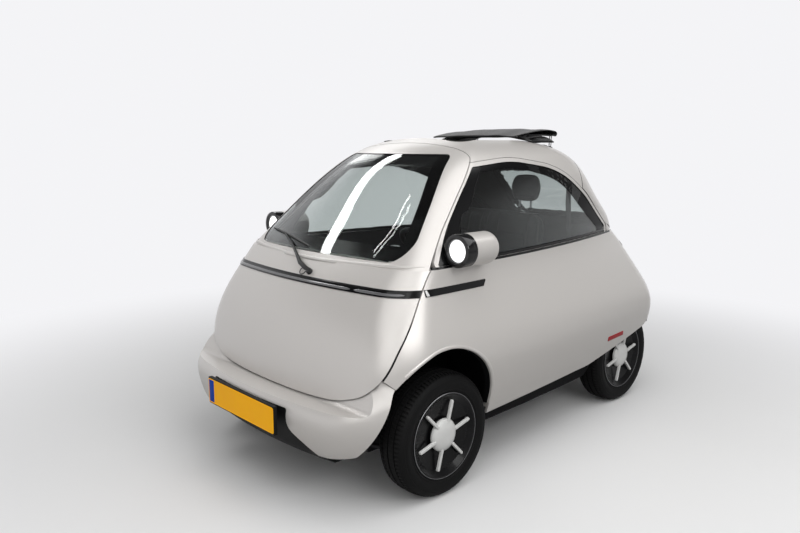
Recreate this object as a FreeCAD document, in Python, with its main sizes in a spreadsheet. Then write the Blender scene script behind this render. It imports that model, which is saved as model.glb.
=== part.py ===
"""Front-entry electric microcar: a two-seat bubble car whose whole front face is the door.

Row frame: +X forward, +Y to the car's left, +Z up, in millimetres, with the origin on the floor
under the middle of the car. The bodywork is built from level outlines: every outline is eight
tangent arcs (nose, two nose corners, two sides, two tail corners, tail), and the lower body and
the glasshouse are each a loft through a few of them. Shut lines are profiles in the side view.
"""
import FreeCAD
import Part
import Sketcher
import math
import os

from FreeCAD import Placement, Rotation, Vector

os.makedirs("parts", exist_ok=True)
doc = FreeCAD.newDocument("microcar")

# ---------------------------------------------------------------- driving dimensions
# alias, value in millimetres (or degrees for the names that end in _angle), what it is
SIZES = [
    ("wheelbase", 1565.0, "front to rear wheel centres"),
    ("front_axle", 697.5, "front wheel centres ahead of the origin"),
    ("body_width", 1473.0, "widest point of the wings"),
    ("belt", 948.0, "height of the waist crease under the windscreen"),
    ("roof_top", 1482.0, "height of the roof skin"),
    ("wall", 36.0, "whole thickness of doors and walls, level"),
    ("gap", 6.0, "shut line between panels that move apart"),
    ("seam", 2.0, "joint between fixed panels"),
    ("glass", 6.0, "thickness of the glazing, level"),
    ("flush", 4.0, "glazing set back from the skin, level"),
    ("step", 7.0, "set-back of the glasshouse at the waist crease"),
    ("floor_thick", 24.0, "thickness of the floor pan"),
    ("tyre_radius", 264.0, "radius of the tyres"),
    ("tyre_width", 145.0, "section width of the tyres"),
    ("rim_radius", 165.0, "bead seat of the rims"),
    ("rim_lip", 181.0, "outside of the rim flange"),
    ("axle_height", 264.0, "height of the wheel centres"),
    ("front_face", 690.0, "outer sidewall of the front tyres from the middle"),
    ("rear_face", 582.0, "outer sidewall of the rear tyres from the middle"),
    ("kingpin", 562.0, "steering axis from the middle"),
    ("door_foot", 430.0, "height of the shut line under the front door"),
    ("bar_height", 864.0, "middle of the light bars"),
    ("bar_depth", 27.0, "height of the light bars"),
    ("lamp_radius", 69.0, "round lamp pods"),
    ("lamp_height", 1019.0, "middle of the lamp pods"),
    ("lamp_out", 664.0, "middle of the lamp pods from the middle of the car"),
    ("lamp_lead", 67.0, "front rim of the lamp pods behind the front axle"),
    ("lamp_length", 212.0, "lamp pods from front rim to mirror"),
    ("bezel_length", 56.0, "black ring at the front of the lamp pods"),
    ("lens_radius", 47.0, "round lens in the lamp pods"),
    ("lens_recess", 8.0, "lens set back from the front rim"),
    ("lens_thick", 6.0, "lens of the lamp pods"),
    ("mirror_radius", 46.0, "round mirror at the back of the lamp pods"),
    ("mirror_thick", 3.0, "mirror glass"),
    ("plate_width", 520.0, "number plate"),
    ("plate_height", 110.0, "number plate"),
    ("plate_thick", 3.0, "number plate"),
    ("plate_low", 298.0, "lower edge of the number plate"),
    ("plate_face", 553.0, "back of the number plate ahead of the front axle"),
    ("holder_border", 5.0, "plate holder beyond the plate, above and below"),
    ("holder_depth", 17.0, "plate holder, front to back"),
    ("battery_length", 750.0, "battery pack, front to back"),
    ("battery_width", 760.0, "battery pack"),
    ("battery_height", 170.0, "battery pack"),
    ("battery_back", 1180.0, "back of the battery pack behind the front axle"),
    ("motor_length", 250.0, "motor and gearbox, front to back"),
    ("motor_width", 380.0, "motor and gearbox"),
    ("motor_height", 201.0, "motor and gearbox"),
    ("motor_back", 1690.0, "back of the motor behind the front axle"),
    ("floor_top", 229.0, "top of the floor pan"),
    ("cushion_width", 1040.0, "seat cushion"),
    ("backrest_width", 810.0, "seat back"),
    ("hub_radius", 26.0, "spindles of the front wheels"),
    ("post_radius", 18.0, "steering knuckles about the steering axis"),
    ("post_low", 148.3, "foot of the steering knuckles"),
    ("post_high", 375.7, "head of the steering knuckles"),
]
sheet = doc.addObject("Spreadsheet::Sheet", "sizes")
for row, (alias, value, note) in enumerate(SIZES, start=1):
    sheet.set(f"A{row}", alias)
    sheet.set(f"B{row}", f"{value:g}")
    sheet.set(f"C{row}", note)
    sheet.setAlias(f"B{row}", alias)
doc.recompute()


def size(alias):
    """The value of one named cell of the sheet."""
    return float(sheet.get(alias))


FRONT = size("front_axle")
REAR = FRONT - size("wheelbase")
HALF = size("body_width") / 2
BELT = size("belt")
TOP = size("roof_top")
WALL = size("wall")
GAP = size("gap")
SEAM = size("seam")
STEP = size("step")
GLASS = size("glass")
FLUSH = size("flush")
AXLE = size("axle_height")
FAR = 3000.0  # a reach beyond the whole car, for cutting tools

pieces = []


def add(label, shape):
    """A piece of the car whose shape comes from lofts and profiles."""
    piece = doc.addObject("Part::Feature", label)
    piece.Label = label
    piece.Shape = shape
    piece.Placement = Placement()
    pieces.append(piece)
    return piece


def keep(thing, label):
    """Names a bound object and makes it a piece of the car."""
    thing.Label = label
    pieces.append(thing)
    return thing


def tie(thing, cells):
    """Ties the named properties of an object to sums of the sheet's cells."""
    for name, cell in cells.items():
        thing.setExpression(name, cell)
    return thing


def slab(name, long, wide, high, x, y, z):
    """A box tied to the sheet, from its low corner; x is ahead of the front axle."""
    return tie(doc.addObject("Part::Box", name), {
        "Length": long, "Width": wide, "Height": high, "Placement.Base.x": f"sizes.front_axle + {x}",
        "Placement.Base.y": y, "Placement.Base.z": z})


def barrel(name, radius, long, x, y, z, along):
    """A cylinder tied to the sheet that lies along +X or +Y, or stands along +Z."""
    bar = doc.addObject("Part::Cylinder", name)
    lay = {"x": Rotation(Vector(0, 0, 1), Vector(1, 0, 0)), "y": Rotation(Vector(0, 0, 1), Vector(0, 1, 0)),
           "z": Rotation()}[along]
    bar.Placement = Placement(Vector(0, 0, 0), lay)
    return tie(bar, {
        "Radius": radius, "Height": long, "Placement.Base.x": f"sizes.front_axle + {x}",
        "Placement.Base.y": y, "Placement.Base.z": z})


def join(kind, name, things):
    """A fusion, cut or compound of objects."""
    whole = doc.addObject(f"Part::{kind}", name)
    if kind == "Cut":
        whole.Base, whole.Tool = things
    elif kind == "Compound":
        whole.Links = things
    else:
        whole.Shapes = things
    return whole


def opposite(thing):
    """The mirror image of an object on the other side of the car."""
    image = doc.addObject("Part::Mirroring", thing.Name + "_opposite")
    image.Source = thing
    image.Normal = Vector(0, 1, 0)
    image.Base = Vector(0, 0, 0)
    return image


def pad(name, points, width):
    """A PartDesign body: a side-view sketch, x ahead of the front axle, padded across the car."""
    body = doc.addObject("PartDesign::Body", name)
    sketch = doc.addObject("Sketcher::SketchObject", name + "_sketch")
    body.addObject(sketch)
    sketch.Placement = Placement(Vector(0, 0, 0), Rotation(Vector(1, 0, 0), 90))
    for (x0, z0), (x1, z1) in zip(points, points[1:] + points[:1]):
        sketch.addGeometry(Part.LineSegment(Vector(x0, z0, 0), Vector(x1, z1, 0)))
    for side in range(len(points)):
        sketch.addConstraint(Sketcher.Constraint("Coincident", side, 2, (side + 1) % len(points), 1))
        sketch.addConstraint(Sketcher.Constraint("DistanceX", -1, 1, side, 1, points[side][0]))
        sketch.addConstraint(Sketcher.Constraint("DistanceY", -1, 1, side, 1, points[side][1]))
    solid = doc.addObject("PartDesign::Pad", name + "_pad")
    body.addObject(solid)
    solid.Profile = sketch
    solid.SideType = "Symmetric"
    solid.setExpression("Length", width)
    body.setExpression("Placement.Base.x", "sizes.front_axle")
    return body


# ---------------------------------------------------------------- level outlines of the bodywork
def meet(c1, r1, c2, r2, ahead):
    """Where two circles cross; ahead picks the crossing with the larger x."""
    dx, dy = c2[0] - c1[0], c2[1] - c1[1]
    d = math.hypot(dx, dy)
    a = (d * d + r1 * r1 - r2 * r2) / (2 * d)
    h = math.sqrt(max(r1 * r1 - a * a, 0.0))
    mid = (c1[0] + a * dx / d, c1[1] + a * dy / d)
    both = [(mid[0] + s * h * dy / d, mid[1] - s * h * dx / d) for s in (1, -1)]
    return max(both) if ahead else min(both)


def towards(centre, radius, point):
    """The point of a circle that lies in the direction of another point."""
    dx, dy = point[0] - centre[0], point[1] - centre[1]
    d = math.hypot(dx, dy)
    return (centre[0] + radius * dx / d, centre[1] + radius * dy / d)


def outline(z, nose, tail, half, widest, nose_r, nose_c, side_r, tail_c, tail_r, inset=0.0):
    """One level outline: eight arcs, each tangent to the next, set in by an even inset."""
    nose_mid = (nose - nose_r, 0.0)
    tail_mid = (tail + tail_r, 0.0)
    side_mid = (widest, half - side_r)
    front = meet(nose_mid, nose_r - nose_c, side_mid, side_r - nose_c, True)
    rear = meet(tail_mid, tail_r - tail_c, side_mid, side_r - tail_c, False)

    def beyond(centre, radius, corner):
        """Where the corner circle touches the big arc."""
        dx, dy = corner[0] - centre[0], corner[1] - centre[1]
        return towards(centre, radius - inset, (centre[0] + 2 * dx, centre[1] + 2 * dy))

    a = beyond(nose_mid, nose_r, front)
    b = beyond(side_mid, side_r, front)
    c = beyond(side_mid, side_r, rear)
    d = beyond(tail_mid, tail_r, rear)
    ab = towards(front, nose_c - inset, ((a[0] + b[0]) / 2, (a[1] + b[1]) / 2))
    bc = towards(side_mid, side_r - inset, ((b[0] + c[0]) / 2, (b[1] + c[1]) / 2))
    cd = towards(rear, tail_c - inset, ((c[0] + d[0]) / 2, (c[1] + d[1]) / 2))

    def left(p):
        return Vector(p[0], p[1], z)

    def right(p):
        return Vector(p[0], -p[1], z)

    arcs = [
        Part.Arc(right(a), Vector(nose - inset, 0, z), left(a)),
        Part.Arc(left(a), left(ab), left(b)),
        Part.Arc(left(b), left(bc), left(c)),
        Part.Arc(left(c), left(cd), left(d)),
        Part.Arc(left(d), Vector(tail + inset, 0, z), right(d)),
        Part.Arc(right(d), right(cd), right(c)),
        Part.Arc(right(c), right(bc), right(b)),
        Part.Arc(right(b), right(ab), right(a)),
    ]
    return Part.Wire([arc.toShape() for arc in arcs])


# height; nose ahead of the front axle; tail behind the rear axle; tuck in from the half width;
# widest point ahead of the front axle; radii of nose, nose corner, side, tail corner and tail
LOWER_BODY = [
    (205, 372, 350, 110, 40, 3000, 225, 14500, 200, 2300),
    (290, 396, 380, 68, 40, 3000, 225, 14500, 200, 2300),
    (430, 409, 400, 26, 40, 3000, 225, 14500, 195, 2300),
    (560, 394, 402, 6, 40, 3000, 220, 14000, 205, 2300),
    (700, 346, 378, 32, 20, 3000, 200, 10500, 240, 2200),
    (855, 252, 334, 88, 0, 3000, 170, 7200, 215, 2000),
    (948, 180, 272, 104, 0, 2800, 155, 6300, 280, 1900),
]
# share of the way from the belt to the roof; the other columns as above
GLASSHOUSE = [
    (0.00, 180, 272, 104, 0, 2700, 145, 6300, 280, 1900),
    (0.28, 38, 190, 170, -100, 2000, 130, 7000, 320, 1500),
    (0.56, -112, 16, 232, -300, 1400, 120, 9000, 330, 1100),
    (0.80, -264, -134, 305, -500, 900, 120, 12000, 290, 800),
    (0.92, -394, -308, 385, -650, 700, 120, 12000, 260, 700),
    (1.00, -520, -490, 500, -750, 500, 110, 9000, 200, 500),
]


def lower_body(inset, rows=LOWER_BODY):
    """The solid of the lower body, set in by an even amount."""
    wires = [
        outline(z, FRONT + nose, REAR - tail, HALF - tuck, FRONT + widest, *radii, inset=inset)
        for z, nose, tail, tuck, widest, *radii in rows
    ]
    return Part.makeLoft(wires, True, False)


def glasshouse(inset, drop=0.0):
    """The solid of the glasshouse, set in by an even amount and lowered at the roof."""
    rows = [(BELT + row[0] * (TOP - drop - BELT), *row[1:]) for row in GLASSHOUSE]
    return lower_body(inset, rows)


# ---------------------------------------------------------------- profiles and cutting tools
def rounded(points, radii):
    """A closed flat wire through corner points, each corner rounded to its own radius."""
    count = len(points)
    edges = []
    entry, leave = [], []
    for i, corner in enumerate(points):
        back, on = points[i - 1], points[(i + 1) % count]
        u = (back - corner).normalize()
        w = (on - corner).normalize()
        turn = math.acos(max(-1.0, min(1.0, u.dot(w))))
        reach = radii[i] / math.tan(turn / 2)
        entry.append(corner + u * reach)
        leave.append(corner + w * reach)
        if radii[i] > 0:
            bisector = (u + w).normalize()
            middle = corner + bisector * (radii[i] / math.sin(turn / 2) - radii[i])
            edges.append(Part.Arc(entry[i], middle, leave[i]).toShape())
    for i in range(count):
        start, end = leave[i], entry[(i + 1) % count]
        if (end - start).Length > 1e-6:
            edges.append(Part.makeLine(start, end))
    return Part.Wire(Part.__sortEdges__(edges))


def side_prism(points, radii, low=-FAR, high=FAR):
    """A side-view profile, x from the front axle and z, drawn out across the car."""
    corners = [Vector(FRONT + x, low, z) for x, z in points]
    return Part.Face(rounded(corners, radii)).extrude(Vector(0, high - low, 0))


def front_prism(points, radii, low=-FAR, high=FAR):
    """A front-view profile, y and z, drawn out along the car."""
    corners = [Vector(low, y, z) for y, z in points]
    return Part.Face(rounded(corners, radii)).extrude(Vector(high - low, 0, 0))


def plan_prism(points, radii, low, high):
    """A plan, x from the front axle and y, drawn upwards."""
    corners = [Vector(FRONT + x, y, low) for x, y in points]
    return Part.Face(rounded(corners, radii)).extrude(Vector(0, 0, high - low))


def block(x0, x1, y0, y1, z0, z1):
    """A box between limits, x from the front axle."""
    return Part.makeBox(x1 - x0, y1 - y0, z1 - z0, Vector(FRONT + x0, y0, z0))


def rod(start, end, radius):
    """A round bar between two points, x from the front axle."""
    a, b = Vector(FRONT + start[0], *start[1:]), Vector(FRONT + end[0], *end[1:])
    return Part.makeCylinder(radius, (b - a).Length, a, b - a)


def across(x, y0, y1, z, radius):
    """A round bar across the car."""
    return rod((x, min(y0, y1), z), (x, max(y0, y1), z), radius)


def mirror(shape):
    """The same shape on the other side of the car."""
    return shape.mirror(Vector(0, 0, 0), Vector(0, 1, 0))


def sides(shape):
    """A shape and its mirror image as one compound."""
    return Part.makeCompound([shape, mirror(shape)])


def turned(points, y, x=0.0, z=None):
    """A profile of radius and y turned about an axis across the car."""
    z = AXLE if z is None else z
    corners = [Vector(FRONT + x, y + along, z + radius) for radius, along in points]
    face = Part.Face(Part.makePolygon(corners + [corners[0]]))
    return face.revolve(Vector(FRONT + x, y, z), Vector(0, 1, 0), 360)


# shut line round the front door, in the side view from the front axle
def door_region(grow):
    """Everything ahead of the front door's shut line, grown by a clearance."""
    foot = size("door_foot")
    shut = [
        (900, foot - grow),
        (380 - grow, foot - grow),
        (308 - grow, 552),
        (250 - grow, 658),
        (140 - grow, 806),
        (26 - grow, 960),
        (-95 - grow, 1088),
        (-240 - grow, 1222),
        (-432 - grow, 1386),
        (-432 - grow, 1700),
        (900, 1700),
    ]
    return side_prism(shut, [0, 40, 500, 500, 900, 900, 900, 900, 45, 0, 0])


def hatch_region(grow):
    """Everything behind the rear hatch's shut line, grown by a clearance."""
    shut = [
        (-1290 + grow, 1700),
        (-1290 + grow, 1100),
        (-1600, 1000),
        (-1660 + grow, 978 - grow),
        (-1760 + grow, 930 - grow),
        (-1805 + grow, 850),
        (-1805 + grow, 600 - grow),
        (-2300, 600 - grow),
        (-2300, 1700),
    ]
    region = side_prism(shut, [0, 0, 0, 10, 60, 60, 50, 0, 0])
    return region.cut(window_frame(FRAME - grow))


# the opening of the side window in the side view, and the painted rail round it
WINDOW = [(-8, 957), (-110, 1088), (-255, 1222), (-400, 1342), (-700, 1366), (-1060, 1320),
          (-1330, 1165), (-1612, 957)]
WINDOW_RADII = [6, 900, 900, 35, 900, 700, 900, 22]
FRAME = 20.0


def window_frame(width):
    """The window opening grown by the width of its rail."""
    wire = rounded([Vector(FRONT + x, -FAR, z) for x, z in WINDOW], WINDOW_RADII)
    return Part.Face(wire.makeOffset2D(width)).extrude(Vector(0, 2 * FAR, 0))


lower = lower_body(0).cut(lower_body(WALL))
upper = glasshouse(STEP).cut(glasshouse(STEP + WALL, WALL))
shell = lower.fuse(upper)

# the cut-outs of the body sides
well_wall = 395.0  # inner wall of the front wheel wells from the middle
arch = sides(side_prism(
    [(460, 125), (223, 644), (-275, 644), (-275, 100)],
    [0, 286, 300, 0],
    low=well_wall,
))
underside = side_prism(
    [(900, 100), (900, 214), (500, 214), (395, 262), (-250, 312), (-1130, 312),
     (-1480, 366), (-1830, 424), (-2300, 430), (-2300, 100)],
    [0, 0, 0, 0, 0, 400, 600, 600, 0, 0],
)
rear_well = sides(across(-1565, 400, size("rear_face") + 14, AXLE, size("tyre_radius") + 26))
window = side_prism(WINDOW, WINDOW_RADII)
screen = front_prism(
    [(-552, 968), (552, 968), (444, 1229), (345, 1398), (-345, 1398), (-444, 1229)],
    [70, 70, 1200, 50, 50, 1200], low=-200,
)
roof_zone = block(-1300, -400, -FAR, FAR, 1100, 1700)
sunroof = plan_prism(
    [(-505, 285), (-505, -285), (-1225, -285), (-1225, 285)], [60, 60, 60, 60], 1300, 1700,
)

# ---------------------------------------------------------------- fixed body
# the joint of bumper and wing, from the shut line of the door down to the wheel arch
bumper_end = side_prism([(306, 557), (250, 500), (250, 100), (900, 100), (900, 557)], [0] * 5)
band = size("bar_depth") / 2
bar_low, bar_high = size("bar_height") - band, size("bar_height") + band
skin = lower_body(-3).cut(lower_body(9))
strip = skin.common(side_prism([(84, bar_low), (-262, bar_low), (-285, bar_high), (84, bar_high)],
                               [0, 4, 4, 0])).cut(door_region(GAP / 2))

body = shell.cut(strip).cut(door_region(GAP / 2)).cut(hatch_region(GAP / 2)).cut(underside)
tub = body.cut(bumper_end).cut(arch).cut(rear_well)
roof = tub.common(roof_zone).cut(window_frame(FRAME)).cut(sunroof)
rails = tub.common(block(-1900, 100, -FAR, FAR, BELT, 1700)).common(window_frame(FRAME - SEAM))
flanks = tub.common(block(-2300, 900, -FAR, FAR, 0, BELT)).fuse(rails).cut(window)
quarter = tub.common(block(-2300, -1600, -FAR, FAR, BELT, 1000)).cut(window_frame(FRAME - SEAM))
flanks = flanks.fuse(quarter)
tail = block(-2300, -1880, -FAR, FAR, 0, 600)
add("side_panel_left", flanks.cut(tail).common(block(-2500, 900, 0.5, FAR, 0, 1700)))
add("side_panel_right", flanks.cut(tail).common(block(-2500, 900, -FAR, -0.5, 0, 1700)))
add("rear_panel", flanks.common(block(-2300, -1880 - SEAM, -FAR, FAR, 0, 600)))
add("roof_panel", roof)

# height; face ahead of the axle; tuck from the half width; nose corner radius
BUMPER = [
    (200, 462, 110, 210),
    (262, 504, 66, 250),
    (340, 524, 38, 275),
    (398, 522, 26, 285),
    (445, 490, 18, 265),
    (560, 394, 6, 220),
]
bumper_rows = [
    (z, nose, 340, tuck, 40, 2600, corner, 14000, 205, 2300) for z, nose, tuck, corner in BUMPER
]
bumper = lower_body(0, bumper_rows).cut(lower_body(WALL + SEAM))
bumper_start = bumper_end.translated(Vector(SEAM, 0, 0))
bumper = bumper.common(bumper_start).cut(door_region(GAP / 2))
bumper = bumper.cut(arch).cut(underside)
mouth = front_prism([(-520, 180), (-285, 318), (-285, 402), (285, 402), (285, 318), (520, 180)],
                    [0, 60, 12, 12, 60, 0], low=900)
add("front_bumper", bumper.cut(mouth))

valance_shape = lower_body(14, bumper_rows).cut(lower_body(WALL + SEAM)).common(mouth)
valance_shape = valance_shape.common(block(250 + SEAM, 900, -468, 468, 202, 500))
add("front_valance", valance_shape)

pan = lower_body(WALL + SEAM).common(block(-2300, 900, -FAR, FAR, 205, 345))
pan = pan.cut(lower_body(WALL + SEAM + 22).common(
    block(-2300, 900, -FAR, FAR, 205 + size("floor_thick"), 345)))
front_wells = sides(block(-310, 900, 395, FAR, 100, 700))
rear_wells = sides(block(-1900, -1240, 400, FAR, 100, 700))
pan = pan.cut(front_wells).cut(rear_wells)
pad_places = [(-430, 480), (-430, -480), (-1120, 440), (-1120, -440)]
for x, y in pad_places:
    pan = pan.fuse(rod((x, y, 193), (x, y, 206), 32))
add("floor_pan", pan)

liner = block(-310, 372, 395, 640, 240, 660)
liner = liner.cut(block(-305, 372, 400, 900, 200, 655)).common(lower_body(WALL + SEAM))
add("wheel_arch_liners", sides(liner))

# ---------------------------------------------------------------- glazing and trim
glazing = glasshouse(STEP + FLUSH).cut(glasshouse(STEP + FLUSH + GLASS, FLUSH + GLASS))
left_half = block(-2500, 900, 0.5, FAR, 0, 1700)
sail_zone = side_prism([(100, 900), (-150, 900), (-150, 1010), (-262, 1230), (-150, 1300), (100, 1100)],
                       [0, 0, 60, 0, 0, 0])
add("side_windows", sides(glazing.common(window).cut(sail_zone).common(left_half)))
sail = glasshouse(STEP + 2).cut(glasshouse(STEP + 16)).common(window).common(sail_zone)
belt_strip = block(-1640, 40, -FAR, FAR, BELT, BELT + 9).cut(door_region(GAP / 2))
belt_strip = belt_strip.common(glasshouse(1)).cut(glasshouse(STEP))
lamp_foot = rod((-400, size("lamp_out"), size("lamp_height")), (0, size("lamp_out"), size("lamp_height")),
                size("lamp_radius") + 1)
add("waist_trims", sides(sail.fuse(belt_strip).common(left_half).cut(lamp_foot)))

add("side_strips", strip)

# ---------------------------------------------------------------- lamp pods
pod_y, pod_z, pod_r = size("lamp_out"), size("lamp_height"), size("lamp_radius")
pod_front = -size("lamp_lead") - size("bezel_length")
pod_back = -size("lamp_lead") - size("lamp_length")
housing = rod((pod_back, pod_y, pod_z), (pod_front, pod_y, pod_z), pod_r)
back_edge = [edge for edge in housing.Edges if edge.BoundBox.XMax < FRONT + pod_back + 1]
housing = housing.makeFillet(40, back_edge)
housing = housing.cut(rod((pod_back, pod_y, pod_z), (pod_back + 6, pod_y, pod_z), size("mirror_radius")))
arm = side_prism([(-258, 958), (-140, 958), (-140, 1000), (-160, 1040), (-238, 1040), (-258, 1000)],
                 [12] * 6, 560, pod_y - 30)
outside = glasshouse(STEP + 2)
housing = housing.fuse(arm.cut(rod((pod_back, pod_y, pod_z), (pod_front, pod_y, pod_z), pod_r - 4)))
add("lamp_pods", sides(housing.cut(outside)))
across_lamp = ("sizes.lamp_out", "sizes.lamp_height", "x")
ring = barrel("ring", "sizes.lamp_radius", "sizes.bezel_length", "(-sizes.lamp_lead - sizes.bezel_length)",
              *across_lamp)
bore = barrel("bore", "sizes.lens_radius", "sizes.lens_recess + sizes.lens_thick",
              "(-sizes.lamp_lead - sizes.lens_recess - sizes.lens_thick)", *across_lamp)
bezel = join("Cut", "bezel", (ring, bore))
keep(join("Compound", "lamp_bezels", [bezel, opposite(bezel)]), "lamp_bezels")
lens = barrel("lens", "sizes.lens_radius", "sizes.lens_thick",
              "(-sizes.lamp_lead - sizes.lens_recess - sizes.lens_thick)", *across_lamp)
keep(join("Compound", "headlamps", [lens, opposite(lens)]), "headlamps")
mirror_glass = barrel("mirror_glass", "sizes.mirror_radius - 1", "sizes.mirror_thick",
                      "(-sizes.lamp_lead - sizes.lamp_length + 6 - sizes.mirror_thick)", *across_lamp)
keep(join("Compound", "mirror_glasses", [mirror_glass, opposite(mirror_glass)]), "mirror_glasses")

# ---------------------------------------------------------------- number plate
keep(slab("plate_holder", "sizes.holder_depth", "sizes.plate_width + 4",
          "sizes.plate_height + 2 * sizes.holder_border", "(sizes.plate_face - sizes.holder_depth)",
          "-sizes.plate_width / 2 - 2", "sizes.plate_low - sizes.holder_border"), "plate_holder")
keep(slab("number_plate", "sizes.plate_thick", "sizes.plate_width", "sizes.plate_height", "sizes.plate_face",
          "-sizes.plate_width / 2", "sizes.plate_low"), "number_plate")

# ---------------------------------------------------------------- front door
door = shell.common(door_region(-GAP / 2)).cut(screen)
bar = skin.common(door_region(-GAP / 2)).common(block(-100, 900, -FAR, FAR, bar_low, bar_high))
add("door_panel", door.cut(bar))
add("light_bar", bar)
add("windscreen", glazing.common(screen).common(door_region(-GAP / 2)))
nose_skin = lower_body(0).fuse(glasshouse(STEP))


def ahead_of_skin(y, z, out):
    """A point ahead of the nose at a given y and z, by a given distance."""
    line = Part.makeLine(Vector(FRONT - 600, y, z), Vector(FRONT + 900, y, z))
    return (nose_skin.common(line).BoundBox.XMax - FRONT + out, y, z)


pivot = ahead_of_skin(70, 893, 0)
wiper = rod((pivot[0], 70, 893), (pivot[0] + 26, 70, 905), 15)
elbow = (pivot[0] + 22, 70, 905)
arm_end = ahead_of_skin(-300, 1022, 18)
wiper = wiper.fuse(rod(elbow, arm_end, 6))
blade_points = [ahead_of_skin(y, z, 11) for y, z in ((-450, 1028), (-250, 1016), (-50, 990))]
for start, end in zip(blade_points, blade_points[1:]):
    wiper = wiper.fuse(rod(start, end, 5))
wiper = wiper.fuse(rod(arm_end, ahead_of_skin(-290, 1020, 8), 5))
add("wiper", wiper.cut(nose_skin))

# ---------------------------------------------------------------- rear hatch
hatch = shell.common(hatch_region(-GAP / 2))
rear_screen = front_prism([(-335, 1000), (335, 1000), (300, 1335), (-300, 1335)], [60] * 4,
                          low=-FAR, high=-200)
rear_bar = skin.common(hatch_region(-GAP / 2))
rear_bar = rear_bar.common(block(-2300, -1745, -FAR, FAR, bar_low, bar_high))
add("hatch_panel", hatch.cut(rear_screen).cut(rear_bar))
add("rear_window", glazing.common(rear_screen).common(hatch_region(-GAP / 2)))
add("tail_light_bar", rear_bar)

# ---------------------------------------------------------------- folding roof, lid of the cabin
# x from the front axle; half width; height of the edges; height of the crown
FOLDED_FABRIC = [
    (-905, 292, 1474, 1505),
    (-1060, 304, 1483, 1524),
    (-1215, 310, 1508, 1524),
    (-1268, 307, 1499, 1515),
]


def fold_section(x, half, edge, crown):
    """The folded fabric cut across the car: a flat foot, two edges and a crowned top."""
    foot, x = 1462, FRONT + x
    top = Part.Arc(Vector(x, -half, edge), Vector(x, 0, crown), Vector(x, half, edge)).toShape()
    lower = Part.makePolygon([Vector(x, half, edge), Vector(x, half - 6, foot),
                              Vector(x, 6 - half, foot), Vector(x, -half, edge)])
    return Part.Wire([top] + lower.Edges)


bundle = Part.makeLoft([fold_section(*row) for row in FOLDED_FABRIC], True, False)
add("folding_roof", bundle.cut(glasshouse(STEP - 1)))

# ---------------------------------------------------------------- cabin
keep(slab("battery_pack", "sizes.battery_length", "sizes.battery_width", "sizes.battery_height",
          "(-sizes.battery_back)", "-sizes.battery_width / 2", "sizes.floor_top"), "battery_pack")
# side view of the seat: x from the front axle, z
CUSHION = [(-866.0, 400.0), (-866.0, 524.0), (-820.0, 534.0), (-460.0, 556.0), (-420.0, 548.0),
           (-400.0, 520.0), (-400.0, 400.0)]
BACKREST = [(-872.0, 400.0), (-890.0, 545.0), (-1014.0, 1080.0), (-1040.0, 1105.0), (-1095.0, 1105.0),
            (-1112.0, 1080.0), (-1000.0, 545.0), (-975.0, 400.0)]
keep(pad("seat_cushion", CUSHION, "sizes.cushion_width"), "seat_cushion")
keep(pad("seat_back", BACKREST, "sizes.backrest_width"), "seat_back")
rest = block(-1122, -1037, 145, 317, 1140, 1287)
for y in (195, 267):
    rest = rest.fuse(rod((-1075, y, 1106), (-1080, y, 1145), 6))
add("head_restraints", sides(rest))
dash = side_prism([(-165, 800), (-150, 905), (-70, 915), (20, 880), (20, 800)], [20] * 5, -620, 620)
add("dashboard", dash.common(lower_body(WALL + 1)))
add("instrument", block(-186, -160, 170, 350, 885, 985).fuse(block(-170, -120, 240, 280, 895, 940)).cut(dash))
column = rod((-330, 260, 900), (-70, 260, 559), 26).fuse(rod((-70, 260, 559), (110, 260, 240), 11))
column = column.fuse(block(-175, -110, 238, 282, 670, 800)).fuse(block(80, 130, 235, 285, 229, 262))
add("steering_column", column)
axis = Vector(-290, 0, 380).normalize()
hub_at = Vector(FRONT - 330, 260, 900) + axis * 4
wheel = Part.makeTorus(178, 13, hub_at + axis * 60, axis)
wheel = wheel.fuse(Part.makeCylinder(42, 62, hub_at, axis))
across_spoke = Part.makeBox(356, 26, 8, Vector(-178, -13, -4))
across_spoke.Placement = Placement(hub_at + axis * 56,
                                   Rotation(Vector(0, 1, 0), axis, Vector(0, 0, 1), "YZX"))
add("steering_wheel", wheel.fuse(across_spoke))
keep(slab("drive_motor", "sizes.motor_length", "sizes.motor_width", "sizes.motor_height",
          "(-sizes.motor_back)", "-sizes.motor_width / 2", "sizes.floor_top"), "drive_motor")

# ---------------------------------------------------------------- running gear
face, pin = size("front_face"), size("kingpin")
low_z, high_z = 148.0, 376.0
subframe = block(-130, 130, -340, 340, 118, 170)
for side in (-1, 1):
    for x in (-105, 105):
        subframe = subframe.fuse(rod((x, side * 330, 144), (0, side * pin, 136), 10))
    subframe = subframe.fuse(rod((0, side * pin, 128), (0, side * pin, low_z), 22))
subframe = subframe.fuse(block(-60, 60, -300, 300, 165, 205))
add("front_subframe", subframe)
upper_arm = rod((0, pin, high_z), (0, pin, high_z + 16), 20)
for x in (-80, 80):
    upper_arm = upper_arm.fuse(rod((x, 405, high_z + 8), (0, pin, high_z + 8), 8))
add("upper_arms", sides(upper_arm.cut(block(-200, 200, 0, 400, 300, 500))))
damper = rod((0, 474, 150), (0, 440, 420), 15).fuse(rod((0, 452, 330), (0, 425, 560), 26))
damper = damper.fuse(block(-30, 30, 400, 450, 545, 570))
add("front_dampers", sides(damper.cut(block(-200, 200, 0, 400, 100, 700))))
carrier = rod((-1565, 402, AXLE), (-1565, 500, AXLE), 34)
trailing = rod((-1225, 418, 222), (-1565, 418, AXLE), 14).cut(pan)
shaft = rod((-1565, 190, AXLE), (-1565, 420, AXLE), 14)
rear_spring = rod((-1545, 416, AXLE), (-1500, 416, 520), 16)
add("rear_suspension", sides(carrier.fuse(trailing).fuse(shaft).fuse(rear_spring)))


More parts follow.
